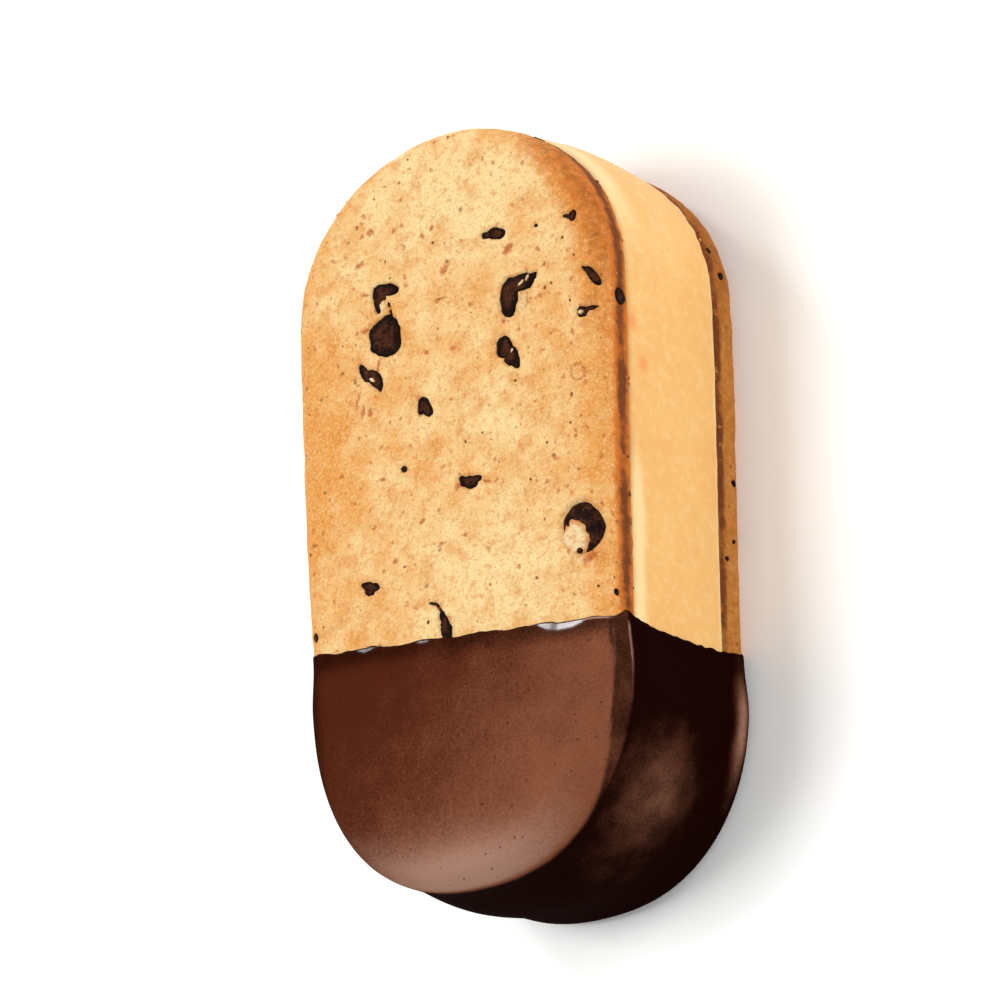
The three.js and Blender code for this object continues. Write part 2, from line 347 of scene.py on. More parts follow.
@dataclass(frozen=True)
class Oblong:
    """The outline that every layer follows, seen from above, in millimetres."""

    length: float = 102.0
    width: float = 49.0
    bare: RoundEnd = RoundEnd(23.8, 2.05)
    dipped: RoundEnd = RoundEnd(25.2, 2.35)
    bow: float = 1.2
    bow_crest: float = 16.0
    taper: float = 0.45
    bend: float = 0.15
    bend_start: float = 10.0
    bend_length: float = 58.0
    swell_side: float = 0.3
    swell_end: float = 0.9

    def at(self, t: Array, offset: Array | float = 0.0, swell: Array | float = 0.0) -> Array:
        """Points on one side, x >= 0, before the bend.

        Args:
            t: Place along the side: 0 dipped tip, 1 and 2 the ends of the straight, 3 bare tip.
            offset: How far out of the plain outline.
            swell: Share of the ice cream's swelling, 0 to 1.

        Returns:
            X and Y, one row for each place.
        """
        t, offset, swell = np.broadcast_arrays(t, offset, swell)
        in_dipped = t < 1.0
        in_straight = (t >= 1.0) & (t <= 2.0)
        angle = np.where(in_dipped, t, np.clip(3.0 - t, 0.0, 1.0)) * math.pi / 2
        power = np.where(in_dipped, self.dipped.power, self.bare.power)
        depth = np.where(in_dipped, self.dipped.depth, self.bare.depth)
        tipward = np.where(in_straight, 0.0, np.clip(np.cos(angle), 0.0, 1.0) ** (2.0 / power))
        sideward = np.where(in_straight, 1.0, np.clip(np.sin(angle), 0.0, 1.0) ** (2.0 / power))
        out = offset + swell * (self.swell_side + (self.swell_end - self.swell_side) * tipward)
        end = self.length / 2 - depth + (depth + out) * tipward
        low = self.dipped.depth - self.length / 2
        high = self.length / 2 - self.bare.depth
        straight = low + (high - low) * np.clip(t - 1.0, 0.0, 1.0)
        y = np.where(in_straight, straight, np.where(in_dipped, -end, end))
        return np.stack([(self.width / 2 + out) * sideward * self.bowed(y), y], axis=-1)

    def bowed(self, y: Array) -> Array:
        """Factor on X of the bowed, slightly tapered sides."""
        bow = self.bow * (1.0 - ((y - self.bow_crest) / (self.length / 2)) ** 2)
        return 1.0 + (bow + self.taper * y / (self.length / 2)) / (self.width / 2)

    def bent(self, y: Array) -> Array:
        """Sideways shift of the slight unevenness."""
        return self.bend * np.sin(2 * math.pi * (y - self.bend_start) / self.bend_length)

    def travelled(self) -> tuple[Array, Array, Array]:
        """Dense places t along a side, the outline at each, and the distance from the first.

        Returns:
            Three arrays, with one row or value for each place.
        """
        dense = np.linspace(0.0, 3.0, 3001)
        line = self.at(dense)
        steps = np.linalg.norm(np.diff(line, axis=0), axis=1)
        return dense, line, np.concatenate([[0.0], np.cumsum(steps)])

    def even_places(self, steps: int) -> Array:
        """Places t along a side, tip to tip, at equal distances on the plain outline."""
        dense, _, distance = self.travelled()
        return np.interp(np.linspace(0.0, distance[-1], steps + 1), distance, dense)

    def along_at(self, y: float, run: Array) -> Array:
        """Places t at distances along the side from where it passes a given Y."""
        dense, line, distance = self.travelled()
        return np.interp(np.interp(y, line[:, 1], distance) + run, distance, dense)

    def outside(self, points: Array) -> Array:
        """Minus the distance from the plain outline's edge, for points within it.

        Args:
            points: Places, one row each.

        Returns:
            One value for each place, 0 on the outline.
        """
        dense = self.at(np.linspace(0.0, 3.0, 601))
        y = points[:, 1]
        x = np.abs(points[:, 0] - self.bent(y))
        best = np.full(len(points), np.inf)
        for line in np.array_split(dense, 12):
            distance = np.hypot(x[:, None] - line[None, :, 0], y[:, None] - line[None, :, 1])
            best = np.minimum(best, distance.min(axis=1))
        return -best

    def ring(self, places: Array, offset: float, z: float, swell: float = 0.0) -> Array:
        """Closed ring of points, counter-clockwise from the dipped tip.

        Args:
            places: Places t along a side.
            offset: How far out of the plain outline.
            z: Height of the ring.
            swell: Share of the ice cream's swelling, 0 to 1.

        Returns:
            X, Y and Z, one row for each point.
        """
        right = self.at(places, offset, swell)
        both = np.concatenate([right, right[1:-1][::-1] * np.array([-1.0, 1.0])])
        return np.column_stack([both[:, 0] + self.bent(both[:, 1]), both[:, 1], np.full(len(both), z)])


@dataclass(frozen=True)
class Stack:
    """Heights of the layers above the table, and the shape of the rims, in millimetres."""

    height: float = 31.9
    cookie: float = 6.5
    rim: float = 3.5
    edge: float = 0.6
    coat: float = 0.95

    @property
    def low_seam(self) -> float:
        """Top of the lower cookie."""
        return self.cookie

    @property
    def high_seam(self) -> float:
        """Bottom of the upper cookie."""
        return self.height - self.cookie


OBLONG = Oblong()
STACK = Stack()


@dataclass(frozen=True)
class DipLine:
    """The wavy edge of the chocolate."""

    y: float = -19.1
    slant: float = -0.09
    creep: float = 0.85
    spur: float = 1.0
    creep_height: float = 4.0
    foot: float = 0.9
    drips: tuple[Triple, ...] = ((0.14, 9.5, 0.4), (0.03, 4.1, 2.0))

    def at(self, x: Array, z: Array) -> Array:
        """Y of the edge at places across and up the sandwich.

        Args:
            x: Places across.
            z: Heights above the table.

        Returns:
            One Y for each place.
        """
        from_seam = (z - STACK.high_seam) / self.creep_height
        creep = self.creep * np.exp(-(from_seam**2)) * np.abs(x) / (OBLONG.width / 2)
        spur = self.spur * bell(z, STACK.high_seam + 2.0, 1.5) * smooth_step(x, 12.0, 22.0)
        foot = self.foot * smooth_step(z, 6.0, 1.0)
        drips = sum(
            height * np.sin(2 * math.pi * (x + 0.8 * z) / length + phase)
            for height, length, phase in self.drips
        )
        return self.y + self.slant * x + creep + spur + foot + drips


DIP = DipLine()


# ---------------------------------------------------------------------------- finishes


class NodeDesk:
    """A material's node tree, with short calls for the nodes that the finishes use."""

    def __init__(self, name: str) -> None:
        """Starts an empty material of one Principled shader.

        Args:
            name: The material's name.
        """
        self.material = bpy.data.materials.new(name)
        self.material.use_nodes = True
        self.tree = self.material.node_tree
        self.tree.nodes.clear()
        self.shader = self.node("BsdfPrincipled", {})
        self.node("OutputMaterial", {"Surface": self.shader.outputs["BSDF"]})
        place = self.node("TexCoord", {}).outputs["Object"]
        scale = (1 / MM, 1 / MM, 1 / MM)
        self.place = self.node("Mapping", {"Vector": place, "Scale": scale}).outputs["Vector"]

    def node(self, kind: str, inputs: dict, **settings: object) -> bpy.types.Node:
        """Adds a shader node."""
        return add_node(self.tree, f"ShaderNode{kind}", inputs, **settings)

    def fixed(self, **values: object) -> None:
        """Sets constant sockets of the shader; an underscore stands for a space."""
        for name, value in values.items():
            self.shader.inputs[name.replace("_", " ")].default_value = value

    def feed(self, socket: str, source: Socket) -> None:
        """Links a node's output to a socket of the shader."""
        self.tree.links.new(source, self.shader.inputs[socket])

    def shifted(self, shift: float) -> Socket:
        """Place in millimetres, moved so that two patterns differ."""
        away = (shift, shift * 1.7, shift * 0.6)
        return self.node("Mapping", {"Vector": self.place, "Location": away}).outputs["Vector"]

    def noise(self, size: float, detail: float = 3.0, rough: float = 0.55, shift: float = 0.0) -> Socket:
        """Noise, about 0 to 1.

        Args:
            size: Size of a bump in millimetres.
            detail: Layers of finer detail.
            rough: Strength of the finer detail.
            shift: How far the pattern is moved.

        Returns:
            The noise's output.
        """
        inputs = {"Scale": 1.0 / size, "Detail": detail, "Roughness": rough, "Vector": self.shifted(shift)}
        return self.node("TexNoise", inputs).outputs["Fac"]

    def dots(self, spacing: float, radius: float, shift: float, push: float = 0.0) -> Socket:
        """Scattered ragged dots: 1 inside a dot, 0 outside, each of its own size.

        Args:
            spacing: Spacing of the dots in millimetres.
            radius: Largest radius of a dot.
            shift: How far the pattern is moved.
            push: How far noise pushes the dots' edges about.

        Returns:
            The dots' output.
        """
        noise = self.node("TexNoise", {"Scale": 1.0 / 0.7, "Vector": self.place}).outputs["Color"]
        inputs = {0: noise, 1: (push, push, push), 2: self.shifted(shift)}
        ragged = self.node("VectorMath", inputs, operation="MULTIPLY_ADD").outputs["Vector"]
        cells = self.node("TexVoronoi", {"Scale": 1.0 / spacing, "Vector": ragged}).outputs
        red = self.node("SeparateColor", {"Color": cells["Color"]}).outputs["Red"]
        gap = self.math("SUBTRACT", self.scaled(red, radius / spacing), cells["Distance"])
        return self.band(gap, 0.0, 0.13)

    def mark(self, name: str) -> Socket:
        """Value that the mesh carries at each point."""
        return self.node("Attribute", {}, attribute_name=name).outputs["Fac"]

    def math(self, kind: str, first: Socket, second: Socket) -> Socket:
        """Arithmetic on two values."""
        return self.node("Math", {0: first, 1: second}, operation=kind).outputs[0]

    def scaled(self, value: Socket, factor: float, add: float = 0.0) -> Socket:
        """A value times a factor, plus a number."""
        return self.node("Math", {0: value, 1: factor, 2: add}, operation="MULTIPLY_ADD").outputs[0]

    def swung(self, value: Socket, swing: float, *noise: float) -> Socket:
        """A value made uneven by noise that swings as far down as up.

        Args:
            value: The value.
            swing: From the noise's lowest to its highest.
            *noise: Size, detail, roughness and shift of the noise.

        Returns:
            The uneven value.
        """
        return self.math("ADD", value, self.scaled(self.noise(*noise), swing, -swing / 2))

    def band(self, value: Socket, low: float, high: float, top: float = 1.0) -> Socket:
        """Soft rise from 0 to top between two values."""
        inputs = {"Value": value, "From Min": low, "From Max": high, "To Max": top}
        return self.node("MapRange", inputs, interpolation_type="SMOOTHSTEP").outputs["Result"]

    def blend(self, share: Socket, first: Socket | Colour, second: Socket | Colour) -> Socket:
        """Mix of two colours; share 0 gives the first."""
        return self.node("Mix", {"Factor": share, 6: first, 7: second}, data_type="RGBA").outputs[2]

    def relief(self, height: Socket, depth: float) -> None:
        """Bump of the shader from heights 0 to 1, over a depth in millimetres."""
        bump = self.node("Bump", {"Strength": 1.0, "Distance": depth * MM, "Height": height})
        self.feed("Normal", bump.outputs["Normal"])


@dataclass(frozen=True)
class BakedCookie:
    """Golden cookie: pale crumb, orange mottling, browned rims and ragged brown flecks."""

    name: str = "baked_cookie"
    golden: Colour = srgb(236, 163, 80)
    pale: Colour = srgb(253, 223, 161)
    mottle: Colour = srgb(222, 134, 46)
    toast: Colour = srgb(204, 110, 26)
    burnt: Colour = srgb(112, 54, 12)
    fleck: Colour = srgb(188, 92, 28)
    bran: Colour = srgb(112, 52, 14)
    stain: Colour = srgb(184, 88, 30)

    def material(self) -> Material:
        """Builds the cookie's material; the mesh carries the marks pale, toast, burnt and stain.

        Returns:
            The material.
        """
        desk = NodeDesk(self.name)
        desk.fixed(Roughness=0.8, Subsurface_Weight=0.1, Subsurface_Scale=0.001)
        desk.fixed(Subsurface_Radius=(1.0, 0.55, 0.25), Specular_IOR_Level=0.25)
        broad = desk.swung(desk.mark("pale"), 1.5, 5.0, 4.0, 0.6)
        colour = desk.blend(desk.band(broad, 0.05, 0.95), self.golden, self.pale)
        clouds = (
            (self.mottle, (3.0, 5.0, 0.66, 53.0), (0.48, 0.7, 0.6)),
            (self.mottle, (1.1, 5.0, 0.62, 77.0), (0.5, 0.7, 0.65)),
            (self.pale, (0.4, 4.0, 0.68, 31.0), (0.48, 0.66, 0.5)),
            (self.mottle, (0.33, 4.0, 0.68, 37.0), (0.5, 0.68, 0.55)),
        )
        for paint, noise, band in clouds:
            colour = desk.blend(desk.band(desk.noise(*noise), *band), colour, paint)
        edge = desk.swung(desk.mark("toast"), 1.3, 1.2, 5.0, 0.7, 11.0)
        colour = desk.blend(desk.band(edge, 0.1, 1.0), colour, self.toast)
        dark = desk.swung(desk.mark("burnt"), 1.3, 1.5, 5.0, 0.65, 5.0)
        colour = desk.blend(desk.band(dark, 0.2, 1.0), colour, self.burnt)
        scorched = desk.band(desk.noise(0.75, 5.0, 0.66, 41.0), 0.6, 0.72, 0.6)
        colour = desk.blend(scorched, colour, self.fleck)
        colour = desk.blend(desk.scaled(desk.dots(1.7, 0.5, 5.0, 1.1), 0.65), colour, self.fleck)
        colour = desk.blend(desk.scaled(desk.dots(2.7, 0.5, 9.0, 0.6), 0.7), colour, self.bran)
        worn = desk.swung(desk.mark("stain"), 2.2, 0.5, 5.0, 0.7, 67.0)
        colour = desk.blend(desk.band(worn, 0.2, 1.1, 0.85), colour, self.stain)
        desk.feed("Base Color", colour)
        desk.relief(desk.math("ADD", desk.noise(0.3, 3.0, 0.6), desk.noise(0.8, 4.0, 0.7, 23.0)), 0.26)
        return desk.material


@dataclass(frozen=True)
class Vanilla:
    """Smooth frozen vanilla with faint warmer clouds, and painted highlights along its edges by the cookies.
    """

    cream: Colour = srgb(231, 180, 107)
    # pale also serves the painted highlights by the cookies.
    pale: Colour = srgb(241, 212, 153)
    warm: Colour = srgb(228, 167, 93)
    smudge: Colour = srgb(232, 142, 74)

    def material(self) -> Material:
        """Builds the ice cream's material; the mesh carries the marks pale, a painted highlight, and smudge.

        Returns:
            The material.
        """
        desk = NodeDesk("vanilla_ice_cream")
        desk.fixed(Roughness=0.55, Subsurface_Weight=0.2, Subsurface_Scale=0.002)
        desk.fixed(Subsurface_Radius=(1.0, 0.7, 0.4), Specular_IOR_Level=0.3)
        colour = desk.blend(desk.band(desk.noise(7.0, 4.0, 0.6), 0.42, 0.7, 0.55), self.cream, self.warm)
        fine = desk.band(desk.noise(1.4, 4.0, 0.65, 21.0), 0.45, 0.75, 0.35)
        colour = desk.blend(fine, colour, self.pale)
        # The mark pale paints highlights along the slab's edges.
        edge = desk.swung(desk.mark("pale"), 0.7, 4.0, 3.0, 0.6, 9.0)
        colour = desk.blend(desk.band(edge, 0.05, 1.0, 0.9), colour, self.pale)
        worn = desk.swung(desk.mark("smudge"), 0.6, 1.5, 3.0, 0.6, 67.0)
        desk.feed("Base Color", desk.blend(desk.band(worn, 0.2, 1.0, 0.7), colour, self.smudge))
        desk.relief(desk.math("ADD", desk.noise(0.5, 3.0, 0.6), desk.noise(2.5, 3.0, 0.5, 8.0)), 0.09)
        return desk.material


@dataclass(frozen=True)
class DarkChocolate:
    """Dark chocolate coat: nearly black, with painted sheen and glare that brown its face and parts of its
    walls, and painted highlights.
    """

    dark: Colour = srgb(23, 4, 2)
    # Painted sheen brown for the face, a lighter brown for its painted glare, and a pale colour for painted
    # highlights.
    satin: Colour = srgb(78, 34, 18)
    bloom: Colour = srgb(134, 80, 56)
    frost: Colour = srgb(176, 136, 116)
    pit: Colour = srgb(52, 20, 10)

    def material(self) -> Material:
        """Builds the coat's material; the mesh carries the painted sheen, the painted glare's lightness,
        painted highlights and gloss.

        Returns:
            The material.
        """
        desk = NodeDesk("dark_chocolate")
        desk.fixed(Specular_IOR_Level=0.0, Coat_Roughness=0.2)
        grain = desk.scaled(desk.noise(0.32, 2.0, 0.6, 7.0), 0.7, -0.35)
        # Painted glare: how far the sheen's brown turns lighter.
        glare_share = desk.math("ADD", desk.swung(desk.mark("bloom"), 0.5, 5.0, 3.0), grain)
        # Painted sheen: where its mark is, the near-black coat turns brown.
        bare = desk.swung(desk.mark("satin"), 0.4, 4.0, 2.0, 0.5, 3.0)
        bare = desk.band(desk.math("ADD", bare, desk.scaled(grain, 0.35)), 0.05, 0.95)
        bare = desk.math("MULTIPLY", bare, desk.band(desk.mark("satin"), 0.0, 0.15))
        brown = desk.blend(desk.band(glare_share, 0.0, 1.0), self.satin, self.bloom)
        # Painted highlights blended over the sheen.
        white = desk.swung(desk.mark("frost"), 0.5, 0.5, 3.0, 0.7, 27.0)
        brown = desk.blend(desk.band(white, 0.1, 1.1, 0.85), brown, self.frost)
        pits = desk.dots(1.2, 0.3, 5.0, 0.3)
        pitted = desk.scaled(desk.math("MULTIPLY", pits, bare), 0.5)
        desk.feed("Base Color", desk.blend(pitted, desk.blend(bare, self.dark, brown), self.pit))
        shine = desk.band(desk.swung(desk.mark("gloss"), 0.7, 0.6, 3.0, 0.65, 91.0), 0.05, 0.9)
        shine = desk.math("MULTIPLY", shine, desk.band(desk.mark("gloss"), 0.0, 0.3))
        desk.feed("Coat Weight", desk.scaled(shine, 0.99, 0.01))
        desk.feed("Roughness", desk.scaled(desk.noise(3.0, 4.0, 0.6, 13.0), 0.14, 0.33))
        desk.relief(desk.math("SUBTRACT", desk.scaled(desk.noise(0.4, 3.0, 0.6), 0.5), pits), 0.05)
        return desk.material


@dataclass(frozen=True)
class BakedChip:
    """Baked chocolate: almost black, with broken browner patches and a little dust."""

    edge: Colour = srgb(24, 8, 4)
    heart: Colour = srgb(74, 38, 20)
    dust: Colour = srgb(140, 96, 66)

    def material(self) -> Material:
        """Builds the chips' material; the mesh carries the mark heart.

        Returns:
            The material.
        """
        desk = NodeDesk("baked_chip")
        desk.fixed(Roughness=0.5, Specular_IOR_Level=0.06)
        heart = desk.swung(desk.mark("heart"), 3.4, 0.9, 4.0, 0.65)
        colour = desk.blend(desk.band(heart, 0.3, 1.2), self.edge, self.heart)
        dusty = desk.band(desk.noise(0.6, 4.0, 0.65, 12.0), 0.6, 0.72, 0.7)
        dusty = desk.math("MULTIPLY", dusty, desk.mark("heart"))
        desk.feed("Base Color", desk.blend(dusty, colour, self.dust))
        desk.relief(desk.noise(0.45, 4.0, 0.7), 0.3)
        return desk.material


@dataclass(frozen=True)
class LooseCrumb:
    """Crumbs and flecks of toasted cookie, each browned differently."""

    light: Colour = srgb(196, 122, 56)
    dark: Colour = srgb(116, 58, 24)

    def material(self) -> Material:
        """Builds the crumbs' material, whose brown changes from crumb to crumb.

        Returns:
            The material.
        """
        desk = NodeDesk("loose_crumb")
        desk.fixed(Roughness=0.8, Specular_IOR_Level=0.25)
        share = desk.band(desk.noise(1.2, 2.0), 0.35, 0.65)
        desk.feed("Base Color", desk.blend(share, self.light, self.dark))
        return desk.material


@dataclass(frozen=True)
class StudioFloor:
    """Even, nearly white paper floor."""

    white: Colour = srgb(255, 255, 254)

    def material(self) -> Material:
        """Builds the floor's material.

        Returns:
            The material.
        """
        desk = NodeDesk("studio_floor")
        desk.fixed(Base_Color=self.white, Roughness=0.9, Specular_IOR_Level=0.1)
        desk.fixed(Emission_Color=self.white, Emission_Strength=0.12)
        return desk.material


# ---------------------------------------------------------------------------- chips


class ChipForm(Enum):
    """How a chip sits in the cookie; its value is how high over the face."""

    FLUSH = 0.0
    CRATER = -0.38
    CRUMB = -0.25
    FLAKE = -0.04


class Seat(Enum):
    """Which part of a cookie holds a chip; its value is the side along X, 0 for the face."""

    FACE = 0
    RIGHT_RIM = 1
    LEFT_RIM = -1


# Every chip lies within this distance of its middle, and none is round at less than this radius.
CHIP_REACH = 9.0
CHIP_LEAST = 0.2


@dataclass(frozen=True)
class Lobe:
    """One rounded part of a chip's outline, placed from the chip's middle."""

    length: float
    width: float
    turn: float
    x: float = 0.0
    y: float = 0.0

    def reach(self, angle: Array) -> Array:
        """How far the lobe reaches from the chip's middle along each direction.

        Args:
            angle: Directions from the middle, in radians.

        Returns:
            One distance for each direction, 0 where the lobe isn't met.
        """
        tilt = math.radians(self.turn)
        ux = np.cos(angle - tilt) / (self.length / 2)
        uy = np.sin(angle - tilt) / (self.width / 2)
        cx = (self.x * math.cos(tilt) + self.y * math.sin(tilt)) / (self.length / 2)
        cy = (self.y * math.cos(tilt) - self.x * math.sin(tilt)) / (self.width / 2)
        a = ux**2 + uy**2
        b = ux * cx + uy * cy
        root = b**2 - a * (cx**2 + cy**2 - 1.0)
        far = (b + np.sqrt(np.maximum(root, 0.0))) / a
        return np.where((root > 0) & (far > 0), far, 0.0)


@dataclass(frozen=True)
class Chip:
    """A chocolate chip baked into a cookie: its middle and its lobes.

    On the face the middle is X and Y. On a rim it is Y and the way up from the inner face.
    """

    x: float
    y: float
    lobes: tuple[Lobe, ...]
    crumple: float = 0.12
    form: ChipForm = ChipForm.FLUSH
    seat: Seat = Seat.FACE

    def radius(self, angle: Array, seed: int) -> Array:
        """Uneven outline, as a distance from the middle along each direction.

        Args:
            angle: Directions from the middle, in radians.
            seed: Seed of the unevenness.

        Returns:
            One distance for each direction.
        """
        smooth = strongest(*[lobe.reach(angle) for lobe in self.lobes])
        around = np.stack([np.cos(angle), np.sin(angle), np.full_like(angle, seed)], axis=-1)
        wobble = Grain(seed).rough(around.reshape(-1, 3) * 4.0, 2.2, 4).reshape(angle.shape)
        return np.maximum(smooth, CHIP_LEAST) * (1.0 + self.crumple * wobble)

    def past(self, x: Array, y: Array, seed: int) -> Array:
        """Distance past the outline, negative inside, at places on the face.

        Args:
            x: Places across.
            y: Places along.
            seed: Seed of the unevenness.

        Returns:
            One distance for each place.
        """
        dx = x - self.x
        dy = y - self.y
        away = np.hypot(dx, dy)
        near = away < CHIP_REACH
        away[near] -= self.radius(np.arctan2(dy[near], dx[near]), seed)
        return away


@dataclass(frozen=True)
class Stain:
    """A browned fleck or crack on the face; a ring when it is hollow."""

    x: float
    y: float
    length: float
    width: float
    turn: float
    hollow: bool = False

    def strength(self, x: Array, y: Array) -> Array:
        """Depth of the stain, 0 to 1, at places on the face.

        Args:
            x: Places across.
            y: Places along.

        Returns:
            One value for each place.
        """
        tilt = math.radians(self.turn)
        along = ((x - self.x) * math.cos(tilt) + (y - self.y) * math.sin(tilt)) / (self.length / 2)
        across = ((y - self.y) * math.cos(tilt) - (x - self.x) * math.sin(tilt)) / (self.width / 2)
        away = np.hypot(along, across)
        return 0.8 * bell(away, 1.0, 0.3) if self.hollow else 1.0 - smooth_step(away, 0.5, 1.5)


def chips(*rows: tuple, form: ChipForm = ChipForm.FLUSH, seat: Seat = Seat.FACE) -> tuple[Chip, ...]:
    """Chips of one kind, from a row of numbers for each.

    Args:
        *rows: X, Y and crumple of a chip, and then the numbers of each of its lobes.
        form: How they sit in the cookie.
        seat: Which part of it holds them.

    Returns:
        The chips, in the order of the rows.
    """
    made = [(x, y, tuple(Lobe(*lobe) for lobe in lobes), crumple) for x, y, crumple, *lobes in rows]
    return tuple(Chip(*sizes, form, seat) for sizes in made)


TOP_CHIPS = chips(
    (9.4, 34.0, 0.12, (3.4, 1.8, -12, 0.3, -0.1), (1.6, 1.0, -21, -1.6, 0.1)),
    (22.0, 33.5, 0.25, (1.6, 1.1, 78, 0.2, -0.1), (1.6, 0.5, -16, -0.7, 0.0)),
    (11.5, 25.3, 0.17, (5.4, 3.1, 86, -0.2, -0.6), (4.7, 1.9, 1, 1.5, 1.1), (2.6, 1.2, 54, 3.6, 0.9)),
    (10.7, 17.2, 0.15, (3.2, 2.8, -83, -0.5, 0.9), (3.8, 1.7, -72, 1.1, -0.9), (1.9, 0.6, -29, 0.3, -1.6)),
    (-9.7, 30.3, 0.12, (4.3, 1.8, -14, 0.7, 0.3), (4.3, 0.9, -82, -1.1, -1.0), (1.8, 1.2, -29, -0.2, -0.6)),
    (-9.6, 24.0, 0.1, (6.0, 5.4, -50), (3.4, 3.2, 0, 0.6, 1.5)),
    (-8.5, 27.8, 0.3, (2.3, 0.4, -78)),
    (-12.2, 19.2, 0.22, (3.5, 1.3, -62, -1.2, 0.8), (4.2, 1.8, -49, 0.8, -0.6), (0.9, 0.6, -20, 1.6, -2.2)),
    (-3.3, 12.9, 0.12, (2.5, 1.8, -62, -0.1, 0.4), (2.4, 1.6, -54, 0.5, -0.5), (1.7, 0.8, -89, -0.7, -0.1)),
    (-7.1, 5.2, 0.1, (1.1, 0.9, -20)),
    (3.8, 1.1, 0.15, (2.9, 1.7, -18, -0.2, -0.1), (2.1, 1.1, -2, 1.0, 0.2), (1.6, 1.2, -68, -1.3, 0.3)),
)
TOP_CHIPS += chips((21.4, -9.0, 0.02, (7.5, 6.4, -76), (5.8, 5.8, 0, 0.3, 0.4)), form=ChipForm.CRATER)
TOP_CHIPS += chips(
    (21.0, -12.0, 0.3, (0.8, 0.7, 0)),
    (-13.5, -9.8, 0.12, (3.3, 1.4, -17, 0.0, 0.2), (1.8, 1.3, -21, -0.2, -0.5)),
    (-1.2, -17.4, 0.3, (3.8, 1.2, -70, 0.0, 0.2), (2.4, 0.8, 89, -0.5, -0.4), (2.0, 1.3, -60, 0.0, -1.2)),
    (-2.0, -15.0, 0.3, (2.2, 0.5, -58)),
    (-3.1, -14.1, 0.3, (1.8, 0.45, -18)),
    (16.3, 33.4, 0.12, (0.6, 0.5, 0)),
    (-23.2, -14.6, 0.15, (1.3, 0.9, -84)),
    (24.7, 24.6, 0.2, (3.2, 1.0, -62), (1.2, 0.4, -22, -1.0, 1.3)),
    (23.2, 19.9, 0.2, (1.7, 1.5, -58, -0.1, 0.0), (2.3, 0.6, 12, 1.0, 0.4)),
)
TOP_CHIPS += chips((-17.9, 3.9, 0.4, (1.2, 0.7, 10)), (22.5, 1.7, 0.12, (2.3, 2.2, 10)), seat=Seat.RIGHT_RIM)
TOP_CHIPS += chips(
    (38.0, 3.1, 0.2, (2.6, 1.3, 20)),
    (12.0, 1.8, 0.2, (1.6, 1.2, -30)),
    (-6.0, 3.6, 0.2, (2.2, 1.6, 50)),
    seat=Seat.LEFT_RIM,
)
TOP_CHIPS += chips((47.0, 2.4, 0.2, (2.0, 1.5, 0)), seat=Seat.RIGHT_RIM)

TOP_CRUMBS = chips((20.2, -10.2, 0.18, (5.2, 4.2, -62), (3.0, 1.8, 75, -0.8, 1.4)), form=ChipForm.CRUMB)
TOP_CRUMBS += chips(
    (13.6, 23.2, 0.4, (3.0, 1.5, 65), (1.4, 1.0, 0, 0.5, 1.2)),
    (13.5, 26.2, 0.4, (1.3, 0.5, 30)),
    (14.5, 26.6, 0.4, (1.1, 0.45, 60)),
    (-9.7, 28.3, 0.35, (1.8, 1.0, 80)),
    (-11.9, 18.6, 0.4, (1.0, 0.5, -40)),
    (11.6, 17.4, 0.4, (0.9, 0.45, 60)),
    (22.9, 19.9, 0.3, (0.8, 0.6, 0)),
    form=ChipForm.FLAKE,
)

STAIN_ROWS = (
    (11.6, 31.3, 2.2, 1.3, 35), (22.0, 11.9, 2.3, 2.0, -34, True), (-12.9, 25.6, 1.8, 0.6, 5),
    (-12.6, 30.6, 2.0, 0.5, -10), (-10.6, 20.5, 2.2, 0.6, 78), (1.9, 0.9, 1.6, 1.1, 20),
    (6.6, 0.5, 1.6, 0.5, -10), (-4.2, -2.6, 1.3, 0.7, 20), (2.6, -5.9, 1.2, 0.7, 0),
    (-1.4, -6.4, 1.5, 0.6, 15), (-9.0, -7.1, 1.1, 0.9, 40), (-11.0, 4.6, 1.7, 0.5, 0),
    (10.4, 21.6, 1.0, 0.8, 0), (-13.6, 14.6, 2.6, 0.6, 75), (22.6, -13.2, 2.6, 1.2, 30),
    (24.6, -14.6, 1.0, 0.8, 0), (25.0, 0.1, 1.6, 2.0, 20), (25.3, -3.2, 0.6, 2.6, 10),
    (0.8, 31.0, 1.5, 1.1, 40), (-1.0, 37.3, 1.0, 0.7, 60), (5.1, 25.2, 1.2, 0.6, 5),
    (-13.4, 35.0, 1.8, 1.0, 30), (-14.4, 16.4, 0.5, 3.4, -20), (-2.6, 20.4, 1.0, 0.7, 0),
    (1.7, 19.9, 1.0, 0.6, 30), (-12.4, 14.0, 1.0, 0.9, 0), (-11.3, 39.2, 1.3, 1.1, 0),
    (-2.6, 36.6, 0.9, 0.8, 0),
)
TOP_STAINS = tuple(Stain(*row) for row in STAIN_ROWS)

BOTTOM_CHIPS = chips(
    (34.5, 1.4, 0.12, (1.1, 0.8, 0)),
    (31.0, 2.6, 0.2, (1.4, 0.9, 30)),
    (2.4, 3.6, 0.3, (1.1, 0.6, -40)),
    (-5.7, 3.2, 0.3, (0.7, 0.5, 60)),
    (-8.4, 1.6, 0.3, (0.8, 0.4, 0)),
    seat=Seat.RIGHT_RIM,
)
BOTTOM_CHIPS += chips(
    (12.0, 2.4, 0.2, (2.3, 1.5, -20)),
    (37.0, 2.9, 0.2, (1.8, 1.4, 15)),
    (49.0, 2.0, 0.2, (1.7, 1.2, 0)),
    seat=Seat.LEFT_RIM,
)
BOTTOM_CHIPS += chips(
    (-10.0, 32.0, 0.12, (4.2, 3.0, 30)),
    (8.0, 24.0, 0.12, (3.4, 2.2, -60)),
    (16.0, 6.0, 0.12, (4.6, 3.6, 15)),
    (-4.0, 8.0, 0.12, (2.6, 1.8, 80)),
    (-16.0, -4.0, 0.12, (3.8, 2.4, -20)),
    (4.0, -10.0, 0.12, (3.0, 2.4, 0)),
)


# ---------------------------------------------------------------------------- the cookies


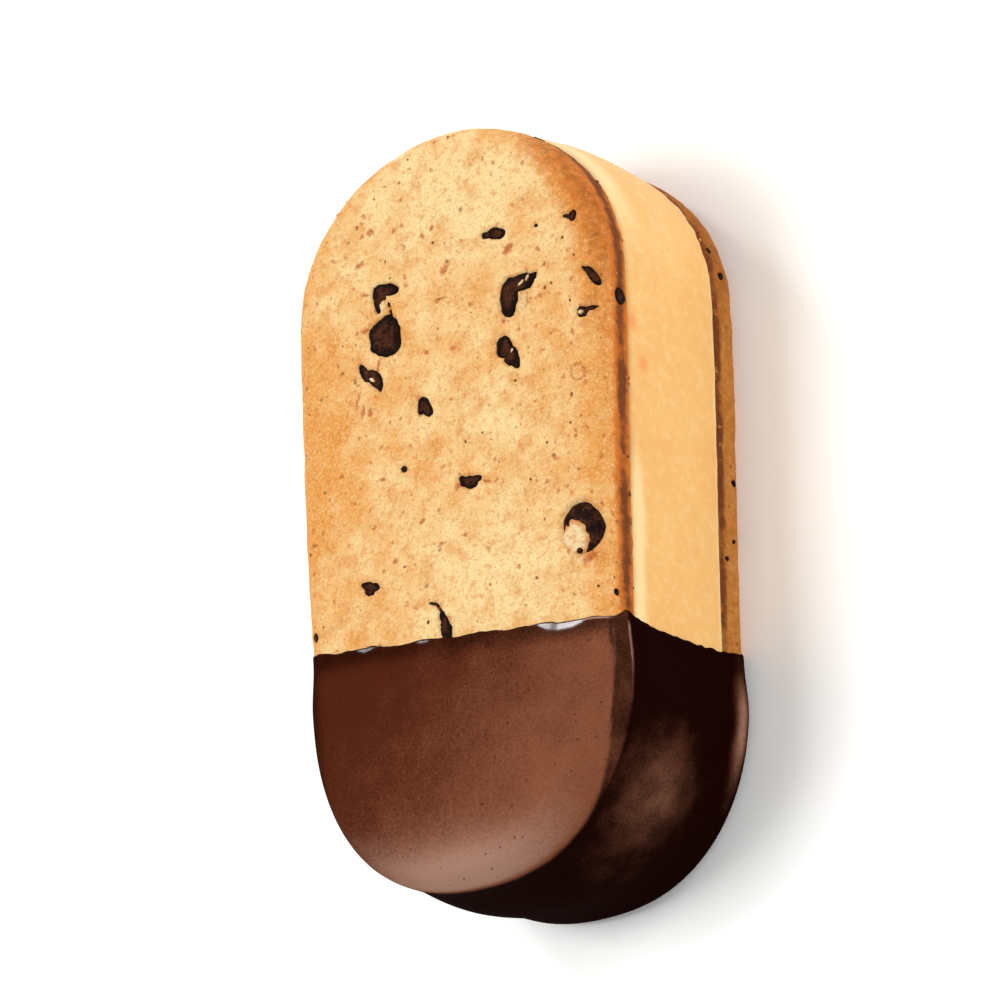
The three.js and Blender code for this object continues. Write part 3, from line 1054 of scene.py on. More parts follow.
@dataclass
class Cookie:
    """A soft-baked cookie, built face up from z = 0 and then put in its place."""

    name: str
    chips: tuple[Chip, ...]
    seed: int
    crumbs: tuple[Chip, ...] = ()
    stains: tuple[Stain, ...] = ()
    around: int = 760
    step: float = 0.37
    sectors: int = 64
    toasted_to: float = 4.9
    toast_fade: float = 2.4
    toasted: float = 1.05
    seam_dark: float = 1.75
    seam_width: float = 1.25
    swells: float = 0.14
    lumps: float = 0.1
    creases: float = 0.07
    pits: float = 0.2
    socket: float = 0.4
    crater: float = 0.75
    rim_socket: float = 0.25
    lip: float = 0.12
    chip_crumpling: float = 0.28
    rim_chip_crumpling: float = 0.1
    rim_chip_rise: float = 0.06
    chip_dish: float = 0.16
    crumb_dome: float = 0.12
    first_crumb: int = 40

    def profile(self) -> list[tuple[float, float]]:
        """The rings, from the middle of the inner face round to the middle of the outer.

        Returns:
            Offset and height of each ring.
        """
        half = OBLONG.width / 2
        wall_top = STACK.cookie - STACK.rim
        inner = [(inset, 0.0) for inset in (0.3 - half, -14.0, -7.0, -3.0, -1.4)]
        edge = [
            (STACK.edge * (math.sin(turn) - 1.0), STACK.edge * (1.0 - math.cos(turn)))
            for turn in np.linspace(0.0, math.pi / 2, 4)
        ]
        wall = [(0.0, float(z)) for z in np.arange(STACK.edge + self.step, wall_top, self.step)]
        rim = [
            (STACK.rim * (math.cos(turn) - 1.0), wall_top + STACK.rim * math.sin(turn))
            for turn in np.linspace(0.0, math.pi / 2, round(STACK.rim * math.pi / 2 / self.step))
        ]
        insets = np.arange(STACK.rim + self.step, half - 0.3, self.step)
        return inner + edge + wall + rim + [(-float(inset), STACK.cookie) for inset in insets]

    def outlines(self, points: Array) -> list[tuple[Chip, Array]]:
        """Each chip of the face, with each point's distance past its outline.

        Args:
            points: Places on the plain cookie.

        Returns:
            Pairs of a chip and the distances.
        """
        x, y, _ = points.T
        chips = enumerate(self.chips)
        return [(chip, chip.past(x, y, self.seed + n)) for n, chip in chips if chip.seat is Seat.FACE]

    def sockets(self, points: Array) -> Array:
        """How deep the surface sinks round the chips, with a slight lip outside those on the face.

        Args:
            points: Places on the plain cookie.

        Returns:
            A height over the plain cookie for each place.
        """
        depth = np.zeros(len(points))
        on_face = smooth_step(points[:, 2], STACK.cookie - 3.0, STACK.cookie - 1.8)
        for chip, past in self.outlines(points):
            deep = self.crater if chip.form is ChipForm.CRATER else self.socket
            depth -= deep * (1.0 - smooth_step(past, -0.45, 0.2)) * on_face
            depth += self.lip * bell(past, 0.5, 0.4) * on_face
        for number, chip in enumerate(self.chips):
            if chip.seat is not Seat.FACE:
                middle = self.seated(chip, np.zeros(1), np.zeros(1), np.zeros(1))[0]
                size = chip.radius(np.linspace(0.0, 6.0, 12), self.seed + number).mean()
                away = np.linalg.norm(points - middle, axis=1) / size
                depth -= self.rim_socket * (1.0 - smooth_step(away, 0.75, 1.3))
        return depth

    def relief(self, points: Array) -> Array:
        """Height of the baked surface over the plain one.

        Args:
            points: Places on the plain cookie.

        Returns:
            One height for each place.
        """
        grain = Grain(self.seed)
        swells = self.swells * grain.rough(points, 13.0, 2)
        lumps = self.lumps * grain.rough(points + 40.0, 3.2, 3)
        stretched = points * np.array([0.8, 1.5, 1.0]) + 90.0
        creases = self.creases * np.abs(grain.rough(stretched, 1.5, 3))
        return swells + lumps - creases - self.pits * grain.spots(points, 2.3, 0.45)

    def paleness(self, points: Array, outward: Array, bare: Array) -> Array:
        """Where the oven left the face pale.

        Args:
            points: Places on the plain cookie.
            outward: Minus each place's distance from the outline.
            bare: Strength of the deep browning round the bare end.

        Returns:
            The mark pale for each place.
        """
        x, y, _ = points.T
        pale = 0.5 + 0.5 * bell(y, 43.0, 10.0) * bell(x, 2.0, 16.0)
        pale += 0.4 * bell(y, -12.0, 8.0) * bell(x, 8.0, 14.0)
        pale += 0.15 * bell(np.hypot(x - 4, y - 8), 0.0, 7.0)
        pale -= 0.45 * smooth_step(x, -12.0, -24.0) * bell(y, 8.0, 18.0)
        return pale - 0.6 * smooth_step(outward, -5.0, 0.0) * (0.5 + 0.5 * bare)

    def stained(self, points: Array) -> Array:
        """The mark stain: orange crumb round the chips of the face, and browned flecks.

        Args:
            points: Places on the plain cookie.

        Returns:
            One value for each place.
        """
        x, y, z = points.T
        halo = strongest(*[bell(np.maximum(past, 0.0), 0.0, 0.55) for _, past in self.outlines(points)])
        halo *= 0.45 + 0.35 * Grain(self.seed + 5).soft(points, 1.3)
        stain = strongest(halo, *[spot.strength(x, y) for spot in self.stains])
        return stain * smooth_step(z, STACK.cookie - 2.0, STACK.cookie - 0.6)

    def browning(self, points: Array) -> dict[str, Array]:
        """Marks for the finish: where the oven left the cookie pale, browned it or burnt it.

        Args:
            points: Places on the plain cookie.

        Returns:
            Each mark's name, with one value for each place.
        """
        x, y, z = points.T
        outward = OBLONG.outside(points)
        bare = smooth_step(y, -2.0, 40.0) * smooth_step(x, 4.0, 21.0)
        wide = 0.8 * smooth_step(outward, -8.0, 0.0) ** 1.4 * bare
        rounded = smooth_step(z, STACK.cookie - 0.7, STACK.cookie - 4.2) * bare
        wall = self.toasted * smooth_step(z, self.toasted_to, self.toasted_to - self.toast_fade)
        rim = np.maximum(rounded, wall) * smooth_step(outward, -6.0, -2.0)
        uneven = 1.0 + 0.5 * Grain(self.seed + 6).rough(points, 5.0, 2)
        seam = uneven * bell(z, self.seam_dark, self.seam_width) * smooth_step(outward, -1.5, -0.1)
        clear = smooth_step(y - DIP.y - DIP.slant * x, 0.8, 1.8)
        return {
            "pale": self.paleness(points, outward, bare),
            "toast": np.maximum(wide, rim),
            "burnt": np.maximum(seam, 0.42 * bare * smooth_step(outward, -3.2, -0.8)),
            "stain": self.stained(points),
            "crumbly": clear * smooth_step(z, 1.3, 0.5) * smooth_step(outward, -0.8, -0.2),
            "flecked": clear * smooth_step(z, 0.8, 1.6) * (0.4 + 0.6 * smooth_step(outward, -9.0, -1.0)),
        }

    def finished(self) -> Sheet:
        """The cookie with its relief and marks, still face up at z = 0.

        Returns:
            The cookie as one closed sheet.
        """
        places = OBLONG.even_places(self.around // 2)
        sheet = Sheet.stacked([OBLONG.ring(places, offset, z) for offset, z in self.profile()])
        plain = sheet.points
        free = smooth_step(plain[:, 2], -0.05, 0.5)
        ragged = (0.3 * Grain(self.seed + 3).rough(plain, 1.5, 3) - 0.12) * bell(plain[:, 2], 0.7, 0.9)
        height = (self.relief(plain) + ragged) * free + self.sockets(plain)
        most = 0.32 - 0.16 * smooth_step(plain[:, 2], 1.5, 3.0)
        sheet.points = plain + sheet.normals() * np.minimum(height, most)[:, None]
        sheet.marks = self.browning(plain)
        return sheet

    def over_face(self, x: Array, y: Array, rise: Array) -> Array:
        """Points over the plain outer face, square to it also where it rounds off.

        Args:
            x: Places across.
            y: Places along.
            rise: Heights over the face.

        Returns:
            X, Y and Z, one row for each place.
        """
        spots = np.column_stack([x, y, np.zeros_like(x)])
        out = np.clip(1.0 + OBLONG.outside(spots) / STACK.rim, 0.0, 0.98)
        up = np.sqrt(1.0 - out**2)
        steps = 0.5 * np.eye(3)[:2]
        slope_x, slope_y = (OBLONG.outside(spots + step) - OBLONG.outside(spots - step) for step in steps)
        push = rise * out / np.maximum(np.hypot(slope_x, slope_y), 1e-9)
        height = STACK.cookie - STACK.rim + (STACK.rim + rise) * up
        return np.column_stack([x + push * slope_x, y + push * slope_y, height])

    def seated(self, chip: Chip, u: Array, v: Array, rise: Array) -> Array:
        """Points of a chip, on the face or on a rim.

        Args:
            chip: The chip.
            u: Ways from its middle across the face, or along the rim.
            v: Ways from its middle along the face, or up the rim.
            rise: Heights over the surface.

        Returns:
            X, Y and Z, one row for each point.
        """
        if chip.seat is Seat.FACE:
            return self.over_face(chip.x + u, chip.y + v, rise)
        side = chip.seat.value
        wall_top = STACK.cookie - STACK.rim
        climb = chip.y + v
        turn = np.clip(climb - wall_top, 0.0, None) / STACK.rim
        offset = STACK.rim * (np.cos(turn) - 1.0) + rise * np.cos(turn)
        z = np.minimum(climb, wall_top) + (STACK.rim + rise) * np.sin(turn)
        flat = OBLONG.at(OBLONG.along_at(chip.x, side * u), offset)
        return np.column_stack([side * flat[:, 0] + OBLONG.bent(flat[:, 1]), flat[:, 1], z])

    def chip_sheet(self, chip: Chip, number: int) -> Sheet:
        """One chip: a crumpled inlay whose edge dives into the cookie, or a domed crumb.

        Args:
            chip: The chip.
            number: Its number, which sets its unevenness.

        Returns:
            The chip as a closed sheet with the mark heart.
        """
        angle = np.linspace(0.0, 2 * math.pi, self.sectors, endpoint=False)
        radius = chip.radius(angle, self.seed + number)
        on_face = chip.seat is Seat.FACE
        domed = chip.form in (ChipForm.CRUMB, ChipForm.FLAKE)
        crumpling = self.chip_crumpling if on_face else self.rim_chip_crumpling
        crumpling *= min(float(radius.mean()), 1.0)
        browned = {Seat.FACE: 1.0, Seat.RIGHT_RIM: 0.4, Seat.LEFT_RIM: 0.6}[chip.seat]
        parts = (0.9, 1.0, 1.01, 0.97, 0.9, *np.linspace(0.8, 0.06, 10))
        rises = (-1.2, -0.7, -0.3, -0.14, -0.03, *[0.02] * 10)
        rings = []
        heart = []
        for part, rise in zip(parts, rises):
            u = radius * part * np.cos(angle)
            v = radius * part * np.sin(angle)
            lifted = np.full(self.sectors, rise + chip.form.value + (0.0 if on_face else self.rim_chip_rise))
            if rise > -0.2:
                place = np.column_stack([u + chip.x, v + chip.y, np.full(self.sectors, number * 3.0)])
                lifted += Grain(self.seed + 7).rough(place, 1.2, 4) * crumpling
                lifted += self.crumb_dome * (1.0 - part**4) if domed else self.chip_dish * (part - 1.0)
            rings.append(self.seated(chip, u, v, lifted))
            brown = browned * (1.0 - smooth_step(np.array(part), 0.35, 0.95))
            in_crater = chip.form is ChipForm.CRATER and part < 0.98
            heart.append(np.full(self.sectors, 0.6 if in_crater else brown))
        sheet = Sheet.stacked(rings)
        if not on_face and not self.turns_right(chip):
            sheet.faces = sheet.faces[:, ::-1]
        sheet.marks = {"heart": np.concatenate(heart)}
        return sheet

    def turns_right(self, chip: Chip) -> bool:
        """Whether u, v and the outward way form a right-handed set at a rim chip.

        Args:
            chip: A chip on a rim.

        Returns:
            True where they do.
        """
        ways = np.array([[0.0, 0.1, 0.0], [0.0, 0.0, 0.1]])
        spots = self.seated(chip, *ways, np.zeros(3))
        across = np.cross(spots[1] - spots[0], spots[2] - spots[0])
        return bool(across[0] * chip.seat.value > 0.0)

    def chips_sheet(self) -> Sheet:
        """All the chips of this cookie, face up at z = 0."""
        return Sheet.joined([self.chip_sheet(chip, number) for number, chip in enumerate(self.chips)])

    def crumbs_sheet(self) -> Sheet:
        """Pale lumps of crumb beside the chips, face up at z = 0.

        Returns:
            The lumps as one sheet, with marks for their finish.
        """
        numbered = enumerate(self.crumbs, self.first_crumb)
        sheet = Sheet.joined([self.chip_sheet(chip, number) for number, chip in numbered])
        heart = sheet.marks["heart"]
        # Each lump is browner toward its edge: painted shade round the lump.
        sheet.marks = {"pale": 0.6 + heart, "toast": 0.6 * (1.0 - heart), "burnt": np.zeros_like(heart)}
        return sheet


# ---------------------------------------------------------------------------- studio


@dataclass(frozen=True)
class View:
    """The camera: where it looks from, how it is rolled, and its long lens."""

    back: Triple = (0.57937, -0.29257, 0.76074)
    up: Triple = (0.20927, 0.95546, 0.20808)
    distance: float = 900.0
    pixels_per_mm: float = 7.543
    frame_pixels: float = 1000.0
    middle_x: float = 522.1
    middle_y: float = 520.4
    sensor: float = 36.0
    nearest: float = 0.05
    farthest: float = 20.0

    def build(self, centre: Vector) -> None:
        """Places the camera so that the object's middle falls on its place in the frame.

        Args:
            centre: The object's middle, in metres.
        """
        back = Vector(self.back).normalized()
        right = Vector(self.up).cross(back).normalized()
        up = back.cross(right)
        side = (self.middle_x - self.frame_pixels / 2) / self.pixels_per_mm
        rise = (self.middle_y - self.frame_pixels / 2) / self.pixels_per_mm
        data = bpy.data.cameras.new("camera")
        data.sensor_width = self.sensor
        data.lens = self.sensor * self.pixels_per_mm * self.distance / self.frame_pixels
        data.clip_start = self.nearest
        data.clip_end = self.farthest
        camera = bpy.data.objects.new("camera", data)
        turn = Matrix((right, up, back)).transposed().to_4x4()
        place = centre + (back * self.distance - right * side + up * rise) * MM
        camera.matrix_world = Matrix.Translation(place) @ turn
        bpy.context.scene.collection.objects.link(camera)
        bpy.context.scene.camera = camera


@dataclass(frozen=True)
class Softbox:
    """One square area light: direction it stands in, distance, side and power, in metres and watts."""

    name: str
    direction: Triple
    distance: float
    side: float
    power: float
    tint: Triple = (1.0, 1.0, 1.0)

    def build(self, centre: Vector) -> None:
        """Hangs the light, facing the object.

        Args:
            centre: The object's middle, in metres.
        """
        data = bpy.data.lights.new(self.name, "AREA")
        data.energy = self.power
        data.size = self.side
        data.color = self.tint
        light = bpy.data.objects.new(self.name, data)
        way = Vector(self.direction).normalized()
        light.location = centre + way * self.distance
        light.rotation_mode = "QUATERNION"
        light.rotation_quaternion = way.to_track_quat("Z", "Y")
        bpy.context.scene.collection.objects.link(light)


@dataclass(frozen=True)
class Studio:
    """A pale floor under an even white sky, with soft lamps."""

    sky: float = 0.4
    floor_side: float = 6.0
    lamps: tuple[Softbox, ...] = (
        Softbox("key", (-0.36, -0.04, 0.93), 1.1, 0.45, 6.8),
        Softbox("side_fill", (0.95, 0.3, 0.36), 1.3, 1.0, 8.0),
        Softbox("edge_spark", (-0.58, 0.6, 0.56), 1.1, 0.2, 2.6),
        Softbox("ridge_spark", (0.948, 0.293, 0.05), 1.1, 0.08, 0.8, (1.0, 0.84, 0.76)),
    )

    def build(self, centre: Vector) -> None:
        """Makes the world, the lamps and the floor.

        Args:
            centre: The object's middle, in metres.
        """
        scene = bpy.context.scene
        scene.view_settings.view_transform = "Standard"
        scene.view_settings.look = "None"
        world = bpy.data.worlds.new("studio")
        world.use_nodes = True
        sky = world.node_tree.nodes["Background"]
        sky.inputs["Color"].default_value = (1.0, 1.0, 1.0, 1.0)
        sky.inputs["Strength"].default_value = self.sky
        scene.world = world
        for lamp in self.lamps:
            lamp.build(centre)
        half = self.floor_side / 2 / MM
        corners = half * np.array([[-1.0, -1.0, 0.0], [1.0, -1.0, 0.0], [1.0, 1.0, 0.0], [-1.0, 1.0, 0.0]])
        Sheet(corners, np.array([[0, 1, 2, 3]])).build("floor", StudioFloor().material())


# ---------------------------------------------------------------------------- the ice cream


@dataclass
class IceCream:
    """The slab between the cookies, swollen a little past them."""

    seed: int = 71
    around: int = 520
    rows: int = 42
    overlap: float = 0.15
    corner: float = 0.8
    recess: float = 0.3
    fullness: float = 0.7
    dents: float = 0.14
    grain: float = 0.05
    pores: float = 0.12
    torn: float = 0.22

    def shell(self) -> Sheet:
        """The plain slab, whose faces just reach into the cookies.

        Returns:
            The slab as one closed sheet.
        """
        places = OBLONG.even_places(self.around // 2)
        low = STACK.low_seam - self.overlap
        high = STACK.high_seam + self.overlap
        caps = (0.3 - OBLONG.width / 2, -16.0, -9.0, -4.0, -1.6)
        rings = [OBLONG.ring(places, inset, low) for inset in caps]
        for part in np.linspace(0.0, 1.0, self.rows):
            z = low + (high - low) * part
            round_in = max(0.0, 1.0 - min(z - low, high - z) / self.corner)
            swell = max(math.sin(math.pi * part), 0.0) ** self.fullness
            rings.append(OBLONG.ring(places, -self.recess * round_in**2, z, swell))
        rings += [OBLONG.ring(places, inset, high) for inset in reversed(caps)]
        return Sheet.stacked(rings)

    def sheet(self) -> Sheet:
        """The slab with its soft dents, pores and the marks of its finish.

        Returns:
            The finished sheet.
        """
        sheet = self.shell()
        plain = sheet.points
        x, y, z = plain.T
        grain = Grain(self.seed)
        height = self.dents * grain.rough(plain, 9.0, 2) - 0.06
        height += self.grain * grain.rough(plain + 30.0, 1.6, 3)
        height -= self.pores * grain.spots(plain, 3.1, 0.25)
        height *= smooth_step(z, STACK.low_seam, STACK.low_seam + 0.8)
        height *= smooth_step(z, STACK.high_seam, STACK.high_seam - 0.8)
        torn = bell(z, STACK.low_seam + 0.5, 0.6) + 0.6 * bell(z, STACK.high_seam - 0.5, 0.6)
        height += self.torn * np.clip(grain.rough(plain + 70.0, 1.7, 3), -1.0, 0.8) * torn
        sheet.points = plain + sheet.normals() * height[:, None]
        # The mark pale paints highlights along the swollen edge under the upper cookie and at the bare end;
        # it also lightens a strip along the lower edge and a patch halfway up.
        under = smooth_step(z, STACK.high_seam - 6.0, STACK.high_seam - 0.5)
        pale = 1.15 * under * smooth_step(y, 24.0, 44.0)
        pale += 1.1 * bell(z, STACK.high_seam - 0.8, 1.5) * smooth_step(y, 8.0, -6.0)
        pale += 0.8 * smooth_step(z, STACK.low_seam + 1.0, STACK.low_seam + 0.2)
        pale += 0.35 * bell(z, 17.0, 5.0) * bell(y, 33.0, 8.0)
        low_smudge = 1.2 * bell(np.hypot((y - 14.2) / 1.3, z - 22.8), 0.0, 1.0)
        high_smudge = bell(np.hypot((y - 19.6) / 1.6, z - 24.8), 0.0, 1.2)
        sheet.marks = {"pale": pale, "smudge": np.maximum(low_smudge, high_smudge) * (x > 0)}
        return sheet


# ---------------------------------------------------------------------------- the coat


@dataclass
class Coat:
    """The poured chocolate: a thin cup with a beaded, wavy edge."""

    seed: int = 19
    along: int = 120
    step: float = 0.5
    fine_step: float = 0.25
    sunk: float = 0.3
    thick: float = 0.85
    thin: float = 0.12
    lip: float = 0.3
    slope: float = 0.235
    slope_fade: float = 0.6
    tip_run: float = 0.45
    full_from: float = 9.0
    crowding: float = 1.7
    fullness: float = 1.6
    inner_floor: float = 0.35
    waves: float = 0.05
    runs: float = 0.1

    def profile(self) -> Array:
        """Rows from the middle of the top round the side to the middle of the underside.

        Returns:
            For each row: offset, height, outward share, upward share, swelling.
        """
        insets = np.arange(OBLONG.width / 2 - 0.2, STACK.rim, -self.step)
        top = [(-inset, STACK.height, 0.0, 1.0, 0.0) for inset in insets]
        high = STACK.height - STACK.rim
        for turn in np.linspace(math.pi / 2, 0.0, round(STACK.rim * math.pi / 2 / self.step) + 3):
            out, up = math.cos(turn), math.sin(turn)
            top.append((STACK.rim * (out - 1.0), high + STACK.rim * up, out, up, 0.0))
        fine = np.arange(high - self.fine_step, STACK.high_seam - 2.0, -self.fine_step)
        heights = [*fine, *np.arange(fine[-1] - self.step, STACK.rim, -self.step)]
        wall = [(0.0, z, 1.0, 0.0, self.swelling(z)) for z in heights]
        under = [(offset, STACK.height - z, out, -up, swell) for offset, z, out, up, swell in top[::-1]]
        return np.array(top + wall + under)

    def swelling(self, z: float) -> float:
        """Share of the ice cream's swelling that shows through the coat at a height."""
        part = (z - STACK.low_seam) / (STACK.high_seam - STACK.low_seam)
        return math.sin(math.pi * part) ** self.fullness if 0.0 < part < 1.0 else 0.0

    def groove(self, z: float, y: Array) -> Array:
        """How the coat rides over the upper cookie's edge near the dip and sinks below it."""
        over = 0.32 * bell(z, STACK.high_seam + 1.9, 0.45) - 0.26 * bell(z, STACK.high_seam + 0.2, 0.9)
        return smooth_step(y, -44.0, -32.0) * over

    def bead(self, x: Array) -> Array:
        """Width of the slope at the dip's edge, which catches the light in three places."""
        broad = 1.05 * smooth_step(x, 13.0, 16.0) * (1.0 - 0.8 * smooth_step(x, 19.0, 22.8))
        return strongest(broad, 0.75 * bell(x, -14.3, 1.6), 0.6 * bell(x, -4.8, 1.4))

    def edge_place(self, row: Array, side: float) -> float:
        """Place t, from the dipped tip, where a row meets the edge of the dip.

        Args:
            row: A row of the profile.
            side: 1 for the right side, -1 for the left.

        Returns:
            The place t.
        """
        low, high = 0.0, 2.0
        for _ in range(32):
            middle = (low + high) / 2
            x, y, z = self.spot(row, np.array(middle), 0.0, side)[0]
            if y < DIP.at(x, z) + self.ragged(x, z):
                low = middle
            else:
                high = middle
        return (low + high) / 2

    def ragged(self, x: float, z: float) -> float:
        """Small unevenness of the dip's edge at a place.

        Args:
            x: Place across.
            z: Height of the place.

        Returns:
            How far the edge moves along Y.
        """
        there = np.array([[x, 0.0, z]])
        grain = Grain(self.seed + 2)
        fine = 0.14 if z > STACK.high_seam + 2.5 else 0.26
        return float(0.14 * grain.rough(there, 3.1, 2)[0] + fine * grain.rough(there + 9.0, 0.9, 2)[0])

    def spot(self, row: Array, t: Array, reach: Array | float, side: float) -> Array:
        """Points of one row on one side.

        Args:
            row: A row of the profile.
            t: Places along the side.
            reach: How far over the food.
            side: 1 for the right side, -1 for the left.

        Returns:
            X, Y and Z, one row for each place.
        """
        offset, z, out, up, swell = row
        flat = OBLONG.at(np.atleast_1d(t), offset + reach * out, swell)
        x = side * flat[:, 0] + OBLONG.bent(flat[:, 1])
        return np.column_stack([x, flat[:, 1], np.broadcast_to(z + reach * up, x.shape)])

    def thickness(self, base: Array, from_edge: Array, row: Array) -> Array:
        """Thickness of the chocolate along a row.

        Args:
            base: Points of the row on the food.
            from_edge: How far each is from the dip's edge.
            row: The row of the profile.

        Returns:
            How far the outside stands over the food at each point.
        """
        wide = self.bead(base[:, 0])
        past = np.clip(from_edge - wide, 0.0, self.slope_fade)
        climb = np.minimum(from_edge, wide) + past - past**2 / (2 * self.slope_fade)
        rest = self.thick - self.thin - self.slope * (wide + self.slope_fade / 2)
        full = self.thin + self.slope * climb + rest * smooth_step(from_edge, 0.2, self.full_from)
        return full + self.groove(row[1], base[:, 1]) * smooth_step(from_edge, 0.3, 2.5)

    def line(self, row: Array, outer: bool) -> Array:
        """One row of the cup, from its edge on the right round the tip to its edge on the left.

        Args:
            row: The row of the profile.
            outer: Whether the row is on the outside of the cup.

        Returns:
            X, Y and Z, one row for each point.
        """
        halves = []
        share = np.linspace(0.0, 1.0, self.along + 1)
        for side in (1.0, -1.0):
            t = self.edge_place(row, side) * (1.0 - (1.0 - share) ** self.crowding)
            reach = np.full(len(t), -self.sunk)
            if outer:
                base = self.spot(row, t, 0.0, side)
                steps = np.linalg.norm(np.diff(base, axis=0), axis=1)
                from_edge = np.concatenate([np.cumsum(steps[::-1])[::-1], [0.0]])
                rise = np.sqrt(1.0 - np.clip(1.0 - from_edge / self.lip, 0.0, 1.0) ** 2)
                reach += (self.sunk + self.thickness(base, from_edge, row)) * rise
            place = self.spot(row, t, reach, side)
            if outer:
                place[:, 1] -= self.tip_run * smooth_step(-place[:, 1], 24.0, 51.0)
            halves.append(place)
        return np.concatenate([halves[0][::-1], halves[1][1:]])

    def sheet(self) -> Sheet:
        """The cup as one closed sheet: outside, inside and the lip that joins them.

        Returns:
            The finished sheet.
        """
        profile = self.profile()
        outside, inside = (np.array([self.line(row, outer) for row in profile]) for outer in (True, False))
        rows, columns, _ = outside.shape
        outside[..., 2] = np.maximum(outside[..., 2], 0.0)
        inside[..., 2] = np.maximum(inside[..., 2], self.inner_floor)
        count = rows * columns
        last = (rows - 1) * columns
        column = np.arange(columns // 2 + 1)
        mirror = columns - 1 - column
        line = np.arange(rows) * columns
        far = line + columns - 1
        grid = grid_faces(rows, columns, False)
        faces = [
            grid,
            grid[:, ::-1] + count,
            ladder_faces(mirror, column),
            ladder_faces(column + last, mirror + last),
            ladder_faces(column + count, mirror + count),
            ladder_faces(mirror + last + count, column + last + count),
            ladder_faces(line, line + count),
            ladder_faces(far + count, far),
        ]
        points = np.concatenate([outside.reshape(-1, 3), inside.reshape(-1, 3)])
        sheet = Sheet(points, np.concatenate(faces))
        plain = points[:count].copy()
        sheet.points[:count] = plain + sheet.normals()[:count] * self.ripple(plain)[:, None]
        sheet.marks = {name: np.pad(values, (0, count)) for name, values in self.bloom(plain).items()}
        return sheet

    def ripple(self, plain: Array) -> Array:
        """Height of the slow waves and runs of the poured chocolate.

        Args:
            plain: Points of the outside before its waves.

        Returns:
            One height for each point.
        """
        grain = Grain(self.seed)
        x, y, z = plain.T
        runs = grain.rough(plain * np.array([1.0, 1.0, 0.45]), 7.0, 2) * self.on_wall(z)
        waves = self.waves * grain.rough(plain + 50.0, 12.0, 2) + self.runs * runs
        calm = smooth_step(DIP.at(x, z) - y, 0.4, 3.0) * smooth_step(z, 0.05, 1.5)
        return np.clip(waves - 0.02, -0.2, 0.08) * calm

    def on_wall(self, z: Array) -> Array:
        """1 on the upright wall, 0 on the face and the underside."""
        return smooth_step(np.abs(z - STACK.height / 2), 15.2, 12.0)

    def bloom(self, plain: Array) -> dict[str, Array]:
        """Marks for the finish: painted sheen, the painted glare's lightness, painted highlights and gloss.

        Args:
            plain: Points of the outside before its waves.

        Returns:
            Each mark's name, with one value for each point.
        """
        x, y, z = plain.T
        wall = self.on_wall(z)
        edge = DIP.at(x, z) - y
        tipward = smooth_step(-y, 32.0, 49.0)
        # Painted sheen over the face down to the rim, weaker at the left rim and by the dip's edge.
        low = STACK.height - 1.7 - 3.4 * tipward
        face = smooth_step((z - low) / (0.8 + 1.4 * tipward), 0.0, 1.0)
        face *= 0.08 + 0.92 * smooth_step(x, -26.0, -19.2)
        face *= 0.4 + 0.6 * smooth_step(edge, 0.6, 5.0)
        # A weaker painted sheen over the rim down to the upper cookie's edge, away from the tip.
        between = 0.32 * smooth_step(z, STACK.high_seam + 1.6, STACK.high_seam + 2.6)
        between *= smooth_step(-y, 48.0, 40.0)
        # Painted sheen on the walls: a reflection patch on the right wall, a strip low at the back, and soft
        # patches round the hidden left side.
        around = np.arctan2(x, -y - 26.0)
        sheen = 0.32 * bell(around, -1.05, 0.42) + 0.28 * bell(around, -1.95, 0.45)
        side = strongest(
            0.42 * wall * bell(z, 18.5, 8.0) * bell(y, -42.0, 8.5) * smooth_step(x, 2.0, 12.0),
            0.74 * bell(z, 3.2, 1.8) * bell(y, -31.0, 8.0) * smooth_step(x, 8.0, 20.0),
            sheen * wall * bell(z, 18.5, 9.0),
        )
        # Painted glare inside the face's edge round the tip.
        inward = np.exp(-np.clip(-OBLONG.outside(plain) - 0.8, 0.0, None) / 4.6)
        rim_glare = 1.1 * inward * bell(np.arctan2(x, -y - 20.0), 0.0, 0.55) * smooth_step(z - low, 0.8, 3.0)
        wide = self.bead(x)
        bead = bell(edge, 0.15 + 0.55 * wide, 0.25 + 0.42 * wide) * smooth_step(wide, 0.05, 0.5)
        bead *= smooth_step(z, STACK.height - 2.4, STACK.height - 0.4)
        bead *= 0.4 + 0.6 * smooth_step(x, 8.0, 12.0)
        # Two highlight lines along the right rim near the dip: real gloss, and also painted into the sheen
        # and highlight colours.
        lines = 0.5 * bell(z, STACK.height - 1.6, 0.24) + bell(z, STACK.high_seam + 2.25, 0.24)
        lines *= smooth_step(y, -40.0, -32.0) * smooth_step(x, 14.0, 20.0) * smooth_step(edge, 0.9, 2.4)
        lines *= 0.35 + 0.65 * smooth_step(edge, 14.0, 2.0)
        # A painted highlight streak along the dip's edge, right of the glossy bead.
        painted_streak = bell(edge, 0.42, 0.17) * smooth_step(x, 20.6, 21.8)
        painted_streak *= smooth_step(z, STACK.height - 3.0, STACK.height - 0.6)
        shine = np.clip(bead + 0.5 * lines, 0.0, 1.0)
        return {
            # Painted sheen, painted glare lighter toward the lower right, and painted highlights; gloss is
            # the coat's real shine.
            "satin": strongest(face, side, between, painted_streak, 0.75 * lines),
            "bloom": 0.38 + 0.017 * (x - 0.9 * (y + 34.0)),
            "frost": strongest(rim_glare, 1.1 * painted_streak, 0.6 * lines, side),
            "gloss": shine + 0.14 * smooth_step(around, -0.5, -1.3) * wall,
        }


# ---------------------------------------------------------------------------- crumbs


